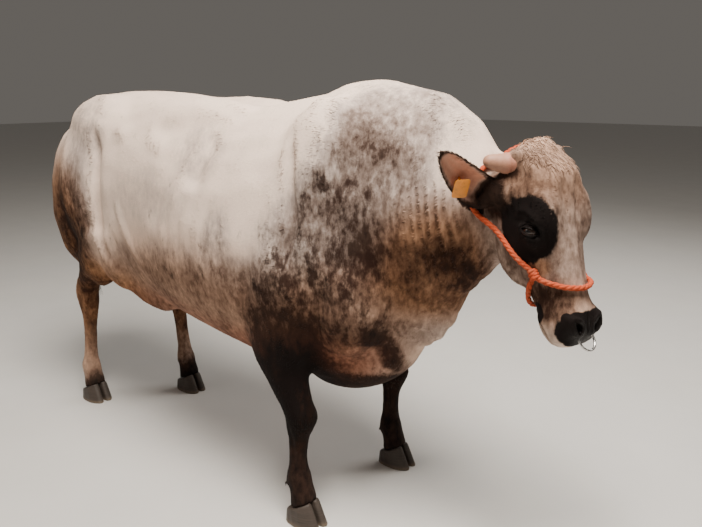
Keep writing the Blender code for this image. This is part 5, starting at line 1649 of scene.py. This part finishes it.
tag.data.edges.foreach_set("select", np.abs(ends[:, 0, 2] - ends[:, 1, 2]) > TAG_THICK / 2)
tag.data.polygons.foreach_set("select", np.zeros(6, bool))
bpy.context.tool_settings.mesh_select_mode = (False, True, False)
bpy.ops.object.mode_set(mode="EDIT")
bpy.ops.mesh.bevel(offset=TAG_CORNER, segments=6)
bpy.ops.object.mode_set(mode="OBJECT")
modified(tag, "BEVEL", width=TAG_EDGE, segments=3, limit_method="ANGLE", angle_limit=math.radians(60))
parts = [tag]
for behind, radius, height in DISCS:
    disc = added(
        bpy.ops.mesh.primitive_cylinder_add, "disc", vertices=32, radius=radius, depth=height,
        location=(0, -hang, behind))
    bpy.ops.object.transform_apply(location=True)
    modified(disc, "BEVEL", width=TAG_EDGE, segments=2, limit_method="ANGLE", angle_limit=math.radians(60))
    parts.append(disc)
choose(*parts)
bpy.ops.object.join()
local = points_of(tag.data)
local[:, 2] += 1.2 * local[:, 0] ** 2
middle = hole + tag_down * hang - back * TAG_OFF
put_points(tag.data, np.array(middle) + local @ array_of([tag_across, tag_down, back]))
outward(tag)
shade_smooth(tag, 40)
tag_finish = Finish("tag_plastic", Roughness=0.4, Specular_IOR_Level=0.5)
dirt = tag_finish.noise(tag_finish.place(), 45.0, 6, 0.65)
scratch = tag_finish.grain((900, 900, 60), 2, 0.5)
dirty = tag_finish.soft(dirt, 0.48, 0.78) * 0.7
tag_finish.feed(
    Base_Color=tag_finish.mix(dirty, rgb(0.78, 0.27, 0.018), rgb(0.36, 0.15, 0.03)),
    Roughness=0.32 + dirt * 0.25, Normal=tag_finish.bump(scratch, 0.0002, 0.4))
give(tag, tag_finish, "tag", "ear_tag")

# %% [markdown]
# A bull's nose ring is a polished steel wire that passes through the wall between the nostrils and hangs
# over the lip. It is a torus, with a thicker collar where its two halves are screwed together.

# %% Nose ring
RING_RADIUS, RING_WIRE, COLLAR_AT = 0.031, 0.0036, 2.2
fall = (HEAD_TURN @ Vector((0.56, 0, -0.83))).normalized()
ring_middle = on_head(0.545, -0.030, 0) + fall * RING_RADIUS
ring = added(
    bpy.ops.mesh.primitive_torus_add, "steel_ring", major_radius=RING_RADIUS, minor_radius=RING_WIRE,
    major_segments=96, minor_segments=20)
local = points_of(ring.data)
angle = np.arctan2(local[:, 1], local[:, 0])
collar = 1 + 0.16 * (1 - smoothstep(np.abs(angle - COLLAR_AT), 0.10, 0.13))
collar -= 0.18 * hump(angle, COLLAR_AT, 0.016)
centre_line = np.stack([np.cos(angle), np.sin(angle), np.zeros(len(angle))], axis=1) * RING_RADIUS
local = centre_line + (local - centre_line) * collar[:, None]
put_points(ring.data, np.array(ring_middle) + local @ array_of([fall, LEFT, fall.cross(LEFT)]))
outward(ring)
shade_smooth(ring)
steel_finish = Finish("steel", Metallic=1.0, Roughness=0.2)
smear = steel_finish.noise(steel_finish.place(), 120.0, 4, 0.6)
steel_finish.feed(
    Base_Color=steel_finish.mix(smear, rgb(0.52, 0.51, 0.50), rgb(0.80, 0.79, 0.78)),
    Roughness=0.14 + smear * 0.25)
give(ring, steel_finish, "steel", "nose_ring")
